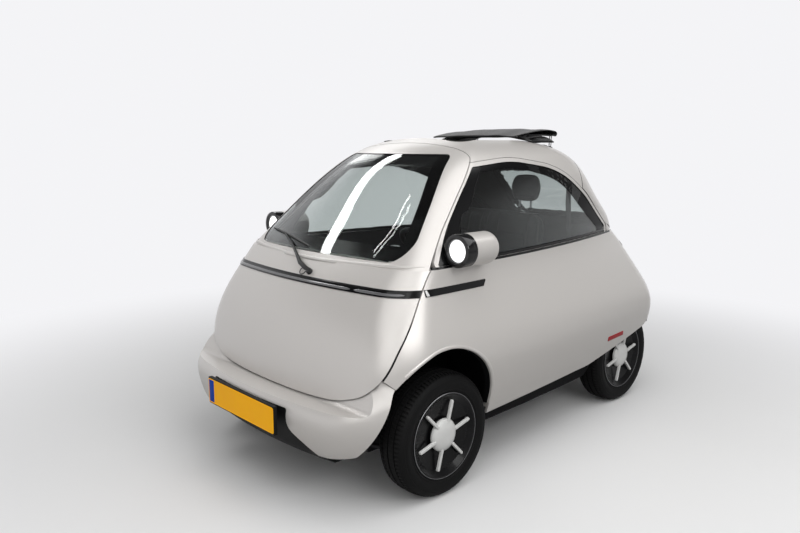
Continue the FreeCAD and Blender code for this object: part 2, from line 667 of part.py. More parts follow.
def wheel_bar(x, y, side, turn):
    """A round-ended bar of a wheel trim, 13 mm wide and 12 mm thick, from y inwards."""
    half, root, tip = 6.5, 40.0, 144.0
    hub = Vector(FRONT + x, y, AXLE)
    out = Vector(math.cos(turn), 0, math.sin(turn))
    level = Vector(-math.sin(turn), 0, math.cos(turn))
    corners = [hub + out * root - level * half, hub + out * tip - level * half,
               hub + out * tip + level * half, hub + out * root + level * half]
    end = Part.Arc(corners[1], hub + out * (tip + half), corners[2]).toShape()
    sides_of_bar = [Part.makeLine(corners[i], corners[j]) for i, j in ((0, 1), (2, 3), (3, 0))]
    wire = Part.Wire([sides_of_bar[0], end, sides_of_bar[1], sides_of_bar[2]])
    return Part.Face(wire).extrude(Vector(0, -side * 12, 0))


def wheel_set(name, x, outer):
    """Tyre, rim and wheel trim of one wheel; outer is the y of its outer sidewall."""
    side = 1 if outer > 0 else -1
    w = size("tyre_width")
    r, bead, lip = size("tyre_radius"), size("rim_radius"), size("rim_lip")
    tyre = [(bead, 13), (lip, 13), (194, 4), (220, 0), (244, 7), (259, 24), (r, 46), (r, w - 46),
            (259, w - 24), (244, w - 7), (220, w), (194, w - 4), (lip, w - 13), (bead, w - 13)]
    rim = [(bead, 13), (lip, 13), (lip, 7), (lip - 8, 6), (150, 24), (66, 38), (66, 34), (0.5, 34),
           (0.5, 70), (66, 70), (140, 60), (152, w - 14), (bead, w - 7), (lip, w - 7), (lip, w - 13),
           (bead, w - 13)]
    trim = [(0.5, 2), (30, 3), (60, 10), (66, 20), (66, 34), (0.5, 34)]

    def profile(points):
        return [(radius, -side * along) for radius, along in points]

    add(f"tyre_{name}", turned(profile(tyre), outer, x))
    add(f"wheel_{name}", turned(profile(rim), outer, x))
    star = turned(profile(trim), outer, x)
    for k in range(6):
        star = star.fuse(wheel_bar(x, outer - side * 5, side, math.radians(20 + 60 * k)))
    add(f"wheel_trim_{name}", star)


for end, x, outer in (("front", 0.0, face), ("rear", -size("wheelbase"), size("rear_face"))):
    wheel_set(f"{end}_left", x, outer)
    wheel_set(f"{end}_right", x, -outer)

post = barrel("post", "sizes.post_radius", "sizes.post_high - sizes.post_low", "0", "sizes.kingpin",
              "sizes.post_low", "z")
spindle = barrel("spindle", "sizes.hub_radius", "sizes.front_face - sizes.kingpin - 70.3", "0",
                 "sizes.kingpin", "sizes.axle_height", "y")
knuckle = keep(join("MultiFuse", "steering_knuckle_left", [post, spindle]), "steering_knuckle_left")
keep(opposite(knuckle), "steering_knuckle_right")

# ---------------------------------------------------------------- checks and output
doc.recompute()
for thing in doc.Objects:
    bad = [state for state in thing.State if state in ("Invalid", "Error")]
    if bad:
        raise RuntimeError(f"{thing.Label}: {bad}")
for piece in pieces:
    if piece.Shape.isNull() or not piece.Shape.isValid() or piece.Shape.Volume <= 0:
        raise RuntimeError(f"{piece.Label}: not a good solid")
for piece in pieces:
    piece.Shape.exportStep(f"parts/{piece.Label}.step")
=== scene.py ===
import math
import random

import bpy
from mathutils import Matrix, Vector
from mathutils.bvhtree import BVHTree


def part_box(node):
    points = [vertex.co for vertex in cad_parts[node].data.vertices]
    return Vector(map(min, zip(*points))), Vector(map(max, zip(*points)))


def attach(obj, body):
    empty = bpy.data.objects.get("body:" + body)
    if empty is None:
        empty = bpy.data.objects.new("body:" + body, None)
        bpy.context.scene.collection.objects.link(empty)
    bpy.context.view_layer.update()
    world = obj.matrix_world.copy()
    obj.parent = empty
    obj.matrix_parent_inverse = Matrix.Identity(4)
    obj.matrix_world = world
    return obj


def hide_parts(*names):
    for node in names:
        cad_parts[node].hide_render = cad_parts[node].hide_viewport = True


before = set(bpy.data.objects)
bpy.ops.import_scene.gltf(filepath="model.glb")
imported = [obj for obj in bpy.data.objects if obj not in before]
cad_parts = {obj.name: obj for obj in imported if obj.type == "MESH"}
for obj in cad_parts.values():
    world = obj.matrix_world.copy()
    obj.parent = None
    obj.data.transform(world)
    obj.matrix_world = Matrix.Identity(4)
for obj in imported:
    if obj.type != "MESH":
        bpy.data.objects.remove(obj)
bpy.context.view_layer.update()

# ------------------------------------------------------------------ camera
# A 32 mm lens at the height of a standing person's eye, ahead of the car and to its left.
camera_data = bpy.data.cameras.new("studio_camera")
camera_data.lens = 32.38
camera_data.sensor_width = 36.0
camera = bpy.data.objects.new("studio_camera", camera_data)
camera.location = (2.738, 2.598, 1.444)
camera.rotation_euler = Vector((-0.672, -0.7215, -0.168)).to_track_quat("-Z", "Y").to_euler()
bpy.context.scene.collection.objects.link(camera)
bpy.context.scene.camera = camera

# ------------------------------------------------------------------ painted body
# Steel and aluminium panels in silver-white pearl paint under a satin lacquer. The flake is
# finer than a millimetre, and low down the paint is blended in patches towards a darker brown-grey.
FRONT_AXLE = 0.6975
REAR_AXLE = -0.8675
AXLE_HEIGHT = 0.264


def new_finish(name, colour, roughness, **sockets):
    """A finish with its plain values on the shader's own sockets."""
    finish = bpy.data.materials.new(name)
    finish.use_nodes = True
    shader = finish.node_tree.nodes["Principled BSDF"]
    shader.inputs["Base Color"].default_value = (*colour, 1.0)
    shader.inputs["Roughness"].default_value = roughness
    for socket, value in sockets.items():
        shader.inputs[socket.replace("_", " ")].default_value = value
    return finish


def new_effect(name, inputs, outputs):
    """An empty node group with named sockets, shared by several finishes."""
    effect = bpy.data.node_groups.new(name, "ShaderNodeTree")
    for side, sockets in (("INPUT", inputs), ("OUTPUT", outputs)):
        for socket, kind in sockets:
            effect.interface.new_socket(socket, in_out=side, socket_type="NodeSocket" + kind)
    start = effect.nodes.new("NodeGroupInput")
    end = effect.nodes.new("NodeGroupOutput")
    return effect, start, end


def finish_step(tree, kind, sockets=None, **settings):
    """One step in working out a finish; each socket takes a value, or an earlier step's output."""
    node = tree.nodes.new("ShaderNode" + kind)
    for setting, value in settings.items():
        setattr(node, setting, value)
    for socket, value in (sockets or {}).items():
        if isinstance(value, bpy.types.NodeSocket):
            tree.links.new(value, node.inputs[socket])
        else:
            node.inputs[socket].default_value = value
    return node


def place_effect(finish, effect, feeds, **inputs):
    """Puts an effect in a finish and joins its outputs to the shader's sockets."""
    tree = finish.node_tree
    shader = tree.nodes["Principled BSDF"]
    node = finish_step(tree, "Group", node_tree=effect)
    for socket, value in inputs.items():
        target = node.inputs[socket.replace("_", " ")]
        if isinstance(value, bpy.types.NodeSocket):
            tree.links.new(value, target)
        else:
            target.default_value = (*value, 1.0) if isinstance(value, tuple) else value
    for output, socket in feeds.items():
        tree.links.new(node.outputs[output], shader.inputs[socket])
    return node


def coat_node(finish, *nodes):
    """Gives CAD nodes a finish in their own material slots."""
    for name in nodes:
        for material_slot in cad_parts[name].material_slots:
            material_slot.material = finish


pearl, pearl_in, pearl_out = new_effect(
    "pearl_flake_and_low_tint",
    [("Colour", "Color"), ("Dust Colour", "Color"), ("Roughness", "Float"), ("Flake", "Float"),
     ("Dust Height", "Float")],
    [("Colour", "Color"), ("Roughness", "Float"), ("Normal", "Vector")])
place = pearl.nodes.new("ShaderNodeTexCoord")
flake = finish_step(pearl, "TexNoise", {"Scale": 900.0, "Detail": 1.0})
cloud = finish_step(pearl, "TexNoise", {"Scale": 3.0, "Detail": 4.0})
for texture in (flake, cloud):
    pearl.links.new(place.outputs["Object"], texture.inputs["Vector"])
sparkle = finish_step(pearl, "Math", {0: flake.outputs["Fac"], 1: pearl_in.outputs["Flake"], 2: 0.96},
                      operation="MULTIPLY_ADD")
tone = finish_step(pearl, "VectorMath", {0: pearl_in.outputs["Colour"], "Scale": sparkle.outputs[0]},
                   operation="SCALE")
split = finish_step(pearl, "SeparateXYZ", {0: place.outputs["Object"]})
# Below half a metre the colour is blended, in patches, towards a darker brown-grey, and the finish is made
# rougher.
low = finish_step(pearl, "MapRange",
                  {"Value": split.outputs["Z"], "From Max": pearl_in.outputs["Dust Height"], "From Min": 0.15,
                   "To Min": 0.30, "To Max": 0.0}, interpolation_type="SMOOTHSTEP")
patchy = finish_step(pearl, "Math", {0: low.outputs[0], 1: cloud.outputs["Fac"]}, operation="MULTIPLY")
low_tinted = finish_step(pearl, "Mix", {"Factor": patchy.outputs[0], "A": tone.outputs[0],
                                   "B": pearl_in.outputs["Dust Colour"]}, data_type="RGBA")
pearl.links.new(low_tinted.outputs["Result"], pearl_out.inputs["Colour"])
satin = finish_step(pearl, "Math", {0: patchy.outputs[0], 1: 0.5, 2: pearl_in.outputs["Roughness"]},
                    operation="MULTIPLY_ADD")
pearl.links.new(satin.outputs[0], pearl_out.inputs["Roughness"])
ripple = finish_step(pearl, "Bump", {"Strength": 0.02, "Distance": 0.0004, "Height": flake.outputs["Fac"]})
pearl.links.new(ripple.outputs[0], pearl_out.inputs["Normal"])

# The cabin side of the same panels is lined with dark moulded trim.
lining, lining_in, lining_out = new_effect(
    "inner_lining", [("Colour", "Color"), ("Roughness", "Float"), ("Metallic", "Float"), ("Coat", "Float"),
                     ("Lining Colour", "Color"), ("Lengthwise", "Float")],
    [("Colour", "Color"), ("Roughness", "Float"), ("Metallic", "Float"), ("Coat", "Float")])
place = lining.nodes.new("ShaderNodeTexCoord")
from_middle = finish_step(lining, "VectorMath", {0: place.outputs["Object"], 1: (-0.10, 0.0, 0.85)},
                          operation="SUBTRACT")
stretch = finish_step(lining, "CombineXYZ", {"Y": 1.0, "Z": 1.0, "X": lining_in.outputs["Lengthwise"]})
outwards = finish_step(lining, "VectorMath", {0: from_middle.outputs[0], 1: stretch.outputs[0]},
                       operation="MULTIPLY")
facing = finish_step(lining, "VectorMath", {0: outwards.outputs[0], 1: place.outputs["Normal"]},
                     operation="DOT_PRODUCT")
inner = finish_step(lining, "MapRange",
                    {"From Min": -0.03, "From Max": -0.06, "Value": facing.outputs["Value"]})
for k, (socket, lined) in enumerate((("Colour", None), ("Roughness", 0.88), ("Metallic", 0.0),
                                     ("Coat", 0.0))):
    blend = finish_step(lining, "Mix", {"Factor": inner.outputs[0]}, data_type="FLOAT" if k else "RGBA")
    ends = [s for s in blend.inputs if s.name in "AB" and s.type == ("VALUE" if k else "RGBA")]
    lining.links.new(lining_in.outputs[socket], ends[0])
    if k:
        ends[1].default_value = lined
    else:
        lining.links.new(lining_in.outputs["Lining Colour"], ends[1])
    result = [s for s in blend.outputs if s.type == ("VALUE" if k else "RGBA")][0]
    lining.links.new(result, lining_out.inputs[socket])


def pearl_paint(name, lengthwise=None):
    """Pearl lacquer outside and trim inside; lengthwise counts faces that look along the car."""
    finish = new_finish(name, PEARL, 0.40, Metallic=0.35, Coat_Weight=0.35, Coat_Roughness=0.20, Coat_IOR=1.5)
    node = place_effect(finish, pearl, {"Normal": "Normal"}, Colour=PEARL, Dust_Colour=(0.25, 0.22, 0.19),
                        Roughness=0.36, Flake=0.08, Dust_Height=0.5)
    if lengthwise is None:
        for output, socket in (("Colour", "Base Color"), ("Roughness", "Roughness")):
            finish.node_tree.links.new(node.outputs[output],
                                       finish.node_tree.nodes["Principled BSDF"].inputs[socket])
        return finish
    place_effect(finish, lining, {"Colour": "Base Color", "Roughness": "Roughness", "Metallic": "Metallic",
                                  "Coat": "Coat Weight"},
                 Colour=node.outputs["Colour"], Roughness=node.outputs["Roughness"], Metallic=0.35, Coat=0.35,
                 Lining_Colour=(0.004, 0.004, 0.0042), Lengthwise=lengthwise)
    return finish


PEARL = (0.62, 0.595, 0.57)
paint = pearl_paint("pearl_white_paint")
lined_paint = pearl_paint("pearl_white_lined_paint", 0.0)
end_paint = pearl_paint("pearl_white_door_paint", 1.0)
coat_node(paint, "front_bumper", "rear_panel", "lamp_pods")
coat_node(lined_paint, "side_panel_left", "side_panel_right", "roof_panel")
coat_node(end_paint, "door_panel", "hatch_panel")

# ------------------------------------------------------------------ moulded plastic and underside
# Black parts of grained polypropylene: the arch liners, the valance under the bumper and the
# plate holder.
grain, grain_in, grain_out = new_effect(
    "moulded_grain",
    [("Colour", "Color"), ("Roughness", "Float"), ("Grain Size", "Float"), ("Depth", "Float"),
     ("Edge Wear", "Float"), ("Worn Colour", "Color")],
    [("Colour", "Color"), ("Roughness", "Float"), ("Normal", "Vector")])
place = grain.nodes.new("ShaderNodeTexCoord")
pebble = finish_step(grain, "TexVoronoi", feature="SMOOTH_F1")
per_metre = finish_step(grain, "Math", {0: 1.0, 1: grain_in.outputs["Grain Size"]}, operation="DIVIDE")
grain.links.new(place.outputs["Object"], pebble.inputs["Vector"])
grain.links.new(per_metre.outputs[0], pebble.inputs["Scale"])
patch = finish_step(grain, "TexNoise", {"Scale": 14.0, "Detail": 5.0, "Vector": place.outputs["Object"]})
relief = finish_step(grain, "Bump", {"Distance": 0.0006, "Strength": grain_in.outputs["Depth"],
                                     "Height": pebble.outputs["Distance"]})
grain.links.new(relief.outputs[0], grain_out.inputs["Normal"])
uneven = finish_step(grain, "Math", {1: 0.16, 0: patch.outputs["Fac"], 2: grain_in.outputs["Roughness"]},
                     operation="MULTIPLY_ADD")
grain.links.new(uneven.outputs[0], grain_out.inputs["Roughness"])
corner = grain.nodes.new("ShaderNodeNewGeometry")
rubbed = finish_step(grain, "MapRange",
                     {"From Min": 0.52, "From Max": 0.62, "Value": corner.outputs["Pointiness"],
                      "To Max": grain_in.outputs["Edge Wear"]})
worn = finish_step(grain, "Mix", {"Factor": rubbed.outputs[0], "A": grain_in.outputs["Colour"],
                                  "B": grain_in.outputs["Worn Colour"]}, data_type="RGBA")
faded = finish_step(grain, "Mix", {"Factor": 0.25, "A": worn.outputs["Result"], "B": patch.outputs["Fac"]},
                    data_type="RGBA", blend_type="MULTIPLY")
grain.links.new(faded.outputs["Result"], grain_out.inputs["Colour"])

SURFACE = {"Colour": "Base Color", "Roughness": "Roughness", "Normal": "Normal"}


def grained(name, colour, roughness, size, depth, wear=0.2, worn_colour=(0.18, 0.18, 0.18), **sockets):
    """A finish with a moulded or cast grain of one size."""
    finish = new_finish(name, colour, roughness, **sockets)
    place_effect(finish, grain, SURFACE, Colour=colour, Roughness=roughness, Grain_Size=size,
                 Depth=depth, Edge_Wear=wear, Worn_Colour=worn_colour)
    return finish


liner_plastic = grained("liner_plastic", (0.006, 0.006, 0.0065), 0.62, 0.004, 0.5, wear=0.0,
                        Specular_IOR_Level=0.06)
coat_node(liner_plastic, "wheel_arch_liners", "floor_pan")
trim_plastic = grained("trim_plastic", (0.011, 0.011, 0.0115), 0.45, 0.0015, 0.35, wear=0.0,
                       Specular_IOR_Level=0.12)
coat_node(trim_plastic, "front_valance", "plate_holder", "dashboard")
gloss_black = grained("gloss_black", (0.003, 0.003, 0.0035), 0.06, 0.02, 0.03, wear=0.0,
                      Specular_IOR_Level=0.25, Coat_Weight=0.2, Coat_Roughness=0.03)
coat_node(gloss_black, "light_bar", "side_strips", "lamp_bezels", "instrument", "waist_trims")

# ------------------------------------------------------------------ running gear
# Black-painted steel arms, carriers and dampers, a cast aluminium motor, and the battery in a
# pressed case under the seat.
chassis_black = grained("chassis_black", (0.02, 0.02, 0.021), 0.42, 0.006, 0.2, wear=0.5,
                        worn_colour=(0.16, 0.12, 0.10))
coat_node(chassis_black, "front_subframe", "upper_arms", "front_dampers", "rear_suspension",
          "steering_knuckle_left", "steering_knuckle_right", "steering_column")
cast_alloy = grained("cast_alloy", (0.42, 0.42, 0.43), 0.45, 0.003, 0.5, wear=0.3,
                     worn_colour=(0.6, 0.6, 0.6), Metallic=1.0)
coat_node(cast_alloy, "drive_motor")
battery_case = grained("battery_case", (0.05, 0.05, 0.055), 0.5, 0.005, 0.3, wear=0.4)
coat_node(battery_case, "battery_pack")

# ------------------------------------------------------------------ tyres
# Radial tyres, 145 mm wide on 13-inch rims: three grooves run round the tread, and a notch
# every 18 mm crosses each shoulder. The rubber is greyer where it has rolled.
WHEEL_PLACES = {
    "front_left": (FRONT_AXLE, 0.690, 0.0), "front_right": (FRONT_AXLE, -0.690, math.pi),
    "rear_left": (REAR_AXLE, 0.582, 0.0), "rear_right": (REAR_AXLE, -0.582, math.pi)}
TYRE_WIDTH = 145.0
SIDEWALL = [  # radius and distance in from the outer face, in millimetres
    (181.5, 13.0), (182.5, 9.5), (186.0, 7.5), (189.5, 7.2), (191.5, 4.2), (195.0, 3.6), (197.0, 5.0),
    (208.0, 1.8), (219.0, 0.2), (230.0, 1.4), (233.0, 2.9), (236.0, 1.9), (243.0, 5.2), (249.0, 9.2),
    (253.0, 14.6), (256.6, 20.0)]
TREAD = [  # the same, from the shoulder to the middle; the lower radii are the grooves
    (258.9, 24.0), (260.7, 30.0), (261.9, 37.6), (255.3, 38.6), (255.3, 43.4), (262.5, 44.4), (263.5, 56.0),
    (263.9, 68.6), (256.7, 69.6), (256.7, 72.5)]


def add_piece(name, vertices, faces, finish, body=None, smooth_angle=math.radians(32)):
    """A mesh from its corners and faces, smooth except at its creases."""
    mesh = bpy.data.meshes.new(name)
    mesh.from_pydata([tuple(v) for v in vertices], [], faces)
    mesh.validate()
    mesh.update()
    mesh.shade_smooth()
    mesh.set_sharp_from_angle(angle=smooth_angle)
    mesh.materials.append(finish)
    piece = bpy.data.objects.new(name, mesh)
    bpy.context.scene.collection.objects.link(piece)
    if body:
        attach(piece, body)
    return piece


def ring_faces(rows, columns, closed_rows=False, closed_columns=True):
    """The quads of a grid whose rows run round."""
    quads = []
    for i in range(rows if closed_rows else rows - 1):
        for j in range(columns if closed_columns else columns - 1):
            a, b = i * columns + j, i * columns + (j + 1) % columns
            c, d = ((i + 1) % rows) * columns + (j + 1) % columns, ((i + 1) % rows) * columns + j
            quads.append((a, b, c, d))
    return quads


rubber = grained("tyre_rubber", (0.008, 0.008, 0.0082), 0.50, 0.0022, 0.28, wear=0.35,
                 worn_colour=(0.022, 0.0215, 0.021), Specular_IOR_Level=0.10)

half_tyre = SIDEWALL + TREAD
tyre_section = half_tyre + [(r, TYRE_WIDTH - along) for r, along in reversed(half_tyre[:-1])]
NOTCHES = 90
notch_steps = (0.0, 0.40, 0.80, 0.93)
columns = NOTCHES * len(notch_steps)
tyre_corners = []
for row, (radius, along) in enumerate(tyre_section):
    from_shoulder = min(along, TYRE_WIDTH - along)
    for column in range(columns):
        pitch, step = divmod(column, len(notch_steps))
        turn = (pitch + notch_steps[step]) / NOTCHES * 2 * math.pi
        turn += 0.16 * min(from_shoulder, 44.0) / 1000 * (1 if along < 72.5 else -1)
        r = radius
        if step >= 2 and 15.0 < from_shoulder < 38.0:
            r -= 5.0
        elif step >= 2 and 44.0 < from_shoulder < 60.0:
            r -= 2.2
        tyre_corners.append((r / 1000 * math.cos(turn), -along / 1000, r / 1000 * math.sin(turn)))
tyre_quads = ring_faces(len(tyre_section), columns, closed_rows=True)

for place_name, (x, outer, turn) in WHEEL_PLACES.items():
    tyre = add_piece(f"tyre_treaded_{place_name}", tyre_corners, tyre_quads, rubber)
    tyre.location = (x, outer, AXLE_HEIGHT)
    tyre.rotation_euler = (0, 0, turn)
    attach(tyre, f"wheelset_{place_name}")
    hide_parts(f"tyre_{place_name}")

# ------------------------------------------------------------------ rims and wheel caps
# Black-lacquered rims with a polished bead edge. A domed white cap clips over the wheel bolts
# and carries six round-ended white bars.
rim_lacquer = grained("rim_lacquer", (0.004, 0.004, 0.0045), 0.20, 0.01, 0.06, wear=0.0, Coat_Weight=0.15,
                      Coat_Roughness=0.08, Specular_IOR_Level=0.15)
polished_edge = grained("polished_edge", (0.30, 0.30, 0.31), 0.22, 0.006, 0.05, wear=0.0, Metallic=1.0)
cap_white = grained("cap_white", (0.74, 0.74, 0.725), 0.34, 0.004, 0.08, wear=0.0, Coat_Weight=0.3,
                    Coat_Roughness=0.2)
for place_name in WHEEL_PLACES:
    coat_node(rim_lacquer, f"wheel_{place_name}")
RIM_BEAD = [(178.5, 5.6), (180.5, 5.0), (181.6, 6.2), (181.6, 9.0), (180.4, 10.0), (178.5, 9.0)]
CAP = [(0.4, -1.0), (16, -0.8), (32, 0.4), (46, 3.0), (57, 6.8), (64, 11.2), (68.6, 16.5), (70.0, 21.0),
       (70.2, 26.0), (67.5, 28.0), (0.4, 28.0)]
BAR_START, BAR_END, BAR_HALF = 58.0, 150.0, 6.6
BAR_FACE, BAR_BACK = 5.5, 17.0
BAR_TURN = 46.0  # how far round the wheels stand, in degrees


def turned_corners(section, steps):
    """Corners of a section of radius and depth, turned about the wheel's own axis."""
    return [(r / 1000 * math.cos(2 * math.pi * k / steps), -along / 1000,
             r / 1000 * math.sin(2 * math.pi * k / steps)) for r, along in section for k in range(steps)]


def bar_corners(turn):
    """A round-ended bar: its outline at the back, at the shoulder and on the rounded face."""
    outline = []
    for k in range(9):
        a = -math.pi / 2 + math.pi * k / 8
        outline.append((BAR_END - BAR_HALF + BAR_HALF * math.cos(a), BAR_HALF * math.sin(a)))
    outline += [(BAR_START, BAR_HALF), (BAR_START, -BAR_HALF)]
    layers = ((1.0, BAR_BACK), (1.0, BAR_FACE + 3.6), (0.90, BAR_FACE + 1.2), (0.66, BAR_FACE),
              (0.25, BAR_FACE))
    corners = []
    for share, depth in layers:
        for r, across in outline:
            end = BAR_END - BAR_HALF
            r = end + (r - end) * share if r > end else r
            across *= share
            corners.append(((r * math.cos(turn) - across * math.sin(turn)) / 1000, -depth / 1000,
                            (r * math.sin(turn) + across * math.cos(turn)) / 1000))
    count = len(outline)
    quads = ring_faces(len(layers), count)
    quads.append(tuple(range(count - 1, -1, -1)))
    quads.append(tuple(range((len(layers) - 1) * count, len(layers) * count)))
    return corners, quads


cap_corners = turned_corners(CAP, 72)
cap_quads = ring_faces(len(CAP), 72)
cap_quads.append(tuple(range(71, -1, -1)))
cap_quads.append(tuple(range((len(CAP) - 1) * 72, len(CAP) * 72)))
for k in range(6):
    corners, quads = bar_corners(math.radians(BAR_TURN + 60 * k))
    first = len(cap_corners)
    cap_corners += corners
    cap_quads += [tuple(first + i for i in quad) for quad in quads]
bead_corners = turned_corners(RIM_BEAD, 96)
bead_quads = ring_faces(len(RIM_BEAD), 96, closed_rows=True)
for place_name, (x, outer, turn) in WHEEL_PLACES.items():
    cap = add_piece(f"cap_and_bars_{place_name}", cap_corners, cap_quads, cap_white)
    bead = add_piece(f"rim_edge_{place_name}", bead_corners, bead_quads, polished_edge)
    for piece in (cap, bead):
        piece.location = (x, outer, AXLE_HEIGHT)
        piece.rotation_euler = (0, 0, turn)
        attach(piece, f"wheelset_{place_name}")
    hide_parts(f"wheel_trim_{place_name}")

# ------------------------------------------------------------------ number plate
# A blank reflective plate, yellow with a blue band at the car's right end, pressed from thin
# sheet with a raised rim. Its finish gives off a little light, in place of the real reflective film.
plate_yellow = grained("plate_yellow", (1.0, 0.47, 0.004), 0.40, 0.0016, 0.10, wear=0.0, Coat_Weight=0.10,
                       Coat_Roughness=0.15, Specular_IOR_Level=0.1, Emission_Color=(1.0, 0.46, 0.0, 1.0),
                       Emission_Strength=0.22)
plate_blue = grained("plate_blue", (0.0, 0.06, 0.50), 0.40, 0.0016, 0.10, wear=0.0, Coat_Weight=0.10,
                     Coat_Roughness=0.15, Specular_IOR_Level=0.1)
plate_low, plate_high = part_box("number_plate")
PLATE_CORNER = 0.009


def rounded_outline(low, high, radius, steps=6):
    """Corners of a rounded rectangle, anticlockwise, as pairs."""
    corners = []
    for cx, cy, start in ((high[0] - radius, low[1] + radius, -90), (high[0] - radius, high[1] - radius, 0),
                          (low[0] + radius, high[1] - radius, 90), (low[0] + radius, low[1] + radius, 180)):
        for k in range(steps + 1):
            a = math.radians(start + 90 * k / steps)
            corners.append((cx + radius * math.cos(a), cy + radius * math.sin(a)))
    return corners


def pressed_panel(name, low, high, radius, layers, finish):
    """A panel facing forwards: outlines drawn in by a distance, each at its own x."""
    corners, count = [], 0
    for inset, x in layers:
        outline = rounded_outline((low[0] + inset, low[1] + inset), (high[0] - inset, high[1] - inset),
                                  max(radius - inset, 0.0008))
        count = len(outline)
        corners += [(x, y, z) for y, z in outline]
    quads = ring_faces(len(layers), count)
    quads.append(tuple(range(count - 1, -1, -1)))
    quads.append(tuple(range((len(layers) - 1) * count, len(layers) * count)))
    return add_piece(name, corners, quads, finish, "chassis")


face_x = plate_high.x
plate = pressed_panel(
    "plate_sheet", (plate_low.y, plate_low.z), (plate_high.y, plate_high.z), PLATE_CORNER,
    ((0.0, plate_low.x), (0.0, face_x - 0.0012), (0.0006, face_x - 0.0004), (0.0030, face_x - 0.0004),
     (0.0040, face_x - 0.0014), (0.0060, face_x - 0.0014)), plate_yellow)
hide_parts("number_plate")
band = pressed_panel(
    "plate_band", (plate_low.y + 0.0045, plate_low.z + 0.0045),
    (plate_low.y + 0.046, plate_high.z - 0.0045), 0.004,
    ((0.0, face_x - 0.0018), (0.0, face_x - 0.0011), (0.0004, face_x - 0.0009)), plate_blue)

# ------------------------------------------------------------------ front door glass
# Laminated windscreen bonded into the door, with a broad black ceramic border baked on its
# inner face.
glass = new_finish("clear_glass", (0.86, 0.90, 0.885), 0.0, Transmission_Weight=1.0, IOR=1.45)
tinted = new_finish("tinted_glass", (0.62, 0.66, 0.65), 0.0, Transmission_Weight=1.0, IOR=1.45)
coat_node(glass, "windscreen")
coat_node(tinted, "side_windows", "rear_window")
ceramic = grained("ceramic_border", (0.002, 0.002, 0.0022), 0.12, 0.01, 0.03, wear=0.0,
                  Specular_IOR_Level=0.1)


def skin_of(node):
    """A search tree over a CAD node's faces."""
    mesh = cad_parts[node].data
    return BVHTree.FromPolygons([v.co for v in mesh.vertices], [p.vertices for p in mesh.polygons])


def smooth_outline(points, radii, steps=7):
    """A polygon with rounded corners, as many pairs; a radius of 0 leaves a corner sharp."""
    outline = []
    for k, radius in enumerate(radii):
        before, here, after = (Vector(points[(k + i) % len(points)]) for i in (-1, 0, 1))
        to_before, to_after = (before - here), (after - here)
        half = to_before.angle(to_after) / 2
        reach = min(radius / math.tan(half), to_before.length * 0.499,
                    to_after.length * 0.499) if radius else 0.0
        if not reach:
            outline.append(here)
            continue
        start, end = here + to_before.normalized() * reach, here + to_after.normalized() * reach
        for i in range(steps + 1):
            t = i / steps
            outline.append(start * (1 - t) ** 2 + here * 2 * t * (1 - t) + end * t ** 2)
    return outline


def drawn_in(outline, distance):
    """The outline moved towards its inside, which lies on its left."""
    moved = []
    for k, here in enumerate(outline):
        before, after = outline[k - 1], outline[(k + 1) % len(outline)]
        along = (after - before).normalized()
        moved.append(here + Vector((-along.y, along.x)) * distance)
    return moved


def on_surface(tree, points, way, lift):
    """Points (u, v) thrown onto a surface from the side that way names, and lifted off it."""
    corners = []
    sign = -1 if way.startswith("-") else 1
    for u, v in points:
        start, aim, inside = {
            "x": (Vector((3 * sign, u, v)), Vector((-sign, 0, 0)), Vector((0.5 * sign, u, v))),
            "y": (Vector((u, 3 * sign, v)), Vector((0, -sign, 0)), Vector((u, 0.55 * sign, v))),
        }[way.strip("-")]
        hit, normal, index, far = tree.ray_cast(start, aim)
        if hit is None:
            hit, normal, index, far = tree.find_nearest(inside)
        if normal.dot(aim) > 0:
            normal = -normal
        corners.append(hit + normal * lift)
    return corners


def border_on(name, tree, outlines, way, lifts, finish, body, filled=False):
    """A strip between outlines, laid on a surface; a filled one is closed by its last outline."""
    corners = []
    for outline, lift in zip(outlines, lifts):
        corners += on_surface(tree, outline, way, lift)
    count = len(outlines[0])
    quads = ring_faces(len(outlines), count)
    if filled:
        quads.append(tuple(range(count * (len(outlines) - 1), count * len(outlines))))
    return add_piece(name, corners, quads, finish, body, math.radians(60))


screen_outline = smooth_outline(
    [(-0.552, 0.968), (0.552, 0.968), (0.444, 1.229), (0.345, 1.398), (-0.345, 1.398), (-0.444, 1.229)],
    (0.070, 0.070, 1.2, 0.050, 0.050, 1.2))
INNER_FACE = -0.0066
frit = border_on("screen_border", skin_of("windscreen"),
                 [drawn_in(screen_outline, d) for d in (0.001, 0.014, 0.028, 0.042, 0.055)],
                 "x", [INNER_FACE] * 5, ceramic, "front_door")

# ------------------------------------------------------------------ side and rear glass
# Toughened side and rear glass with the same baked border. Ahead of it a gloss black sail
# fills the corner behind the lamp pods, and its slanted rear edge is carried on over the glass.
SIDE_GLASS = [(0.5475, 0.957), (0.4425, 1.222), (0.2975, 1.342), (-0.0025, 1.366), (-0.3625, 1.320),
              (-0.6325, 1.165), (-0.9145, 0.957)]
SIDE_CLEAR = [(0.540, 0.969), (0.436, 1.210), (0.285, 1.316), (-0.0025, 1.337), (-0.352, 1.268),
              (-0.575, 1.105), (-0.785, 0.969)]
SIDE_RADII = (0.005, 0.5, 0.035, 0.9, 0.7, 0.9, 0.022)
OUTER_FACE = 0.0004
SAIL_EDGE = [(0.985, 0.545), (1.05, 0.518), (1.10, 0.488), (1.150, 0.452), (1.160, 0.410), (1.2025, 0.362),
             (1.2564, 0.321), (1.300, 0.277), (1.338, 0.236)]  # height, x
GLASS_EDGE = [(0.985, 0.547), (1.03, 0.535), (1.10, 0.5015), (1.20, 0.4505), (1.225, 0.4375), (1.25, 0.4085),
              (1.30, 0.348), (1.325, 0.317), (1.338, 0.292)]
outer_line = smooth_outline(SIDE_GLASS, SIDE_RADII)
inner_line = smooth_outline(SIDE_CLEAR, SIDE_RADII)


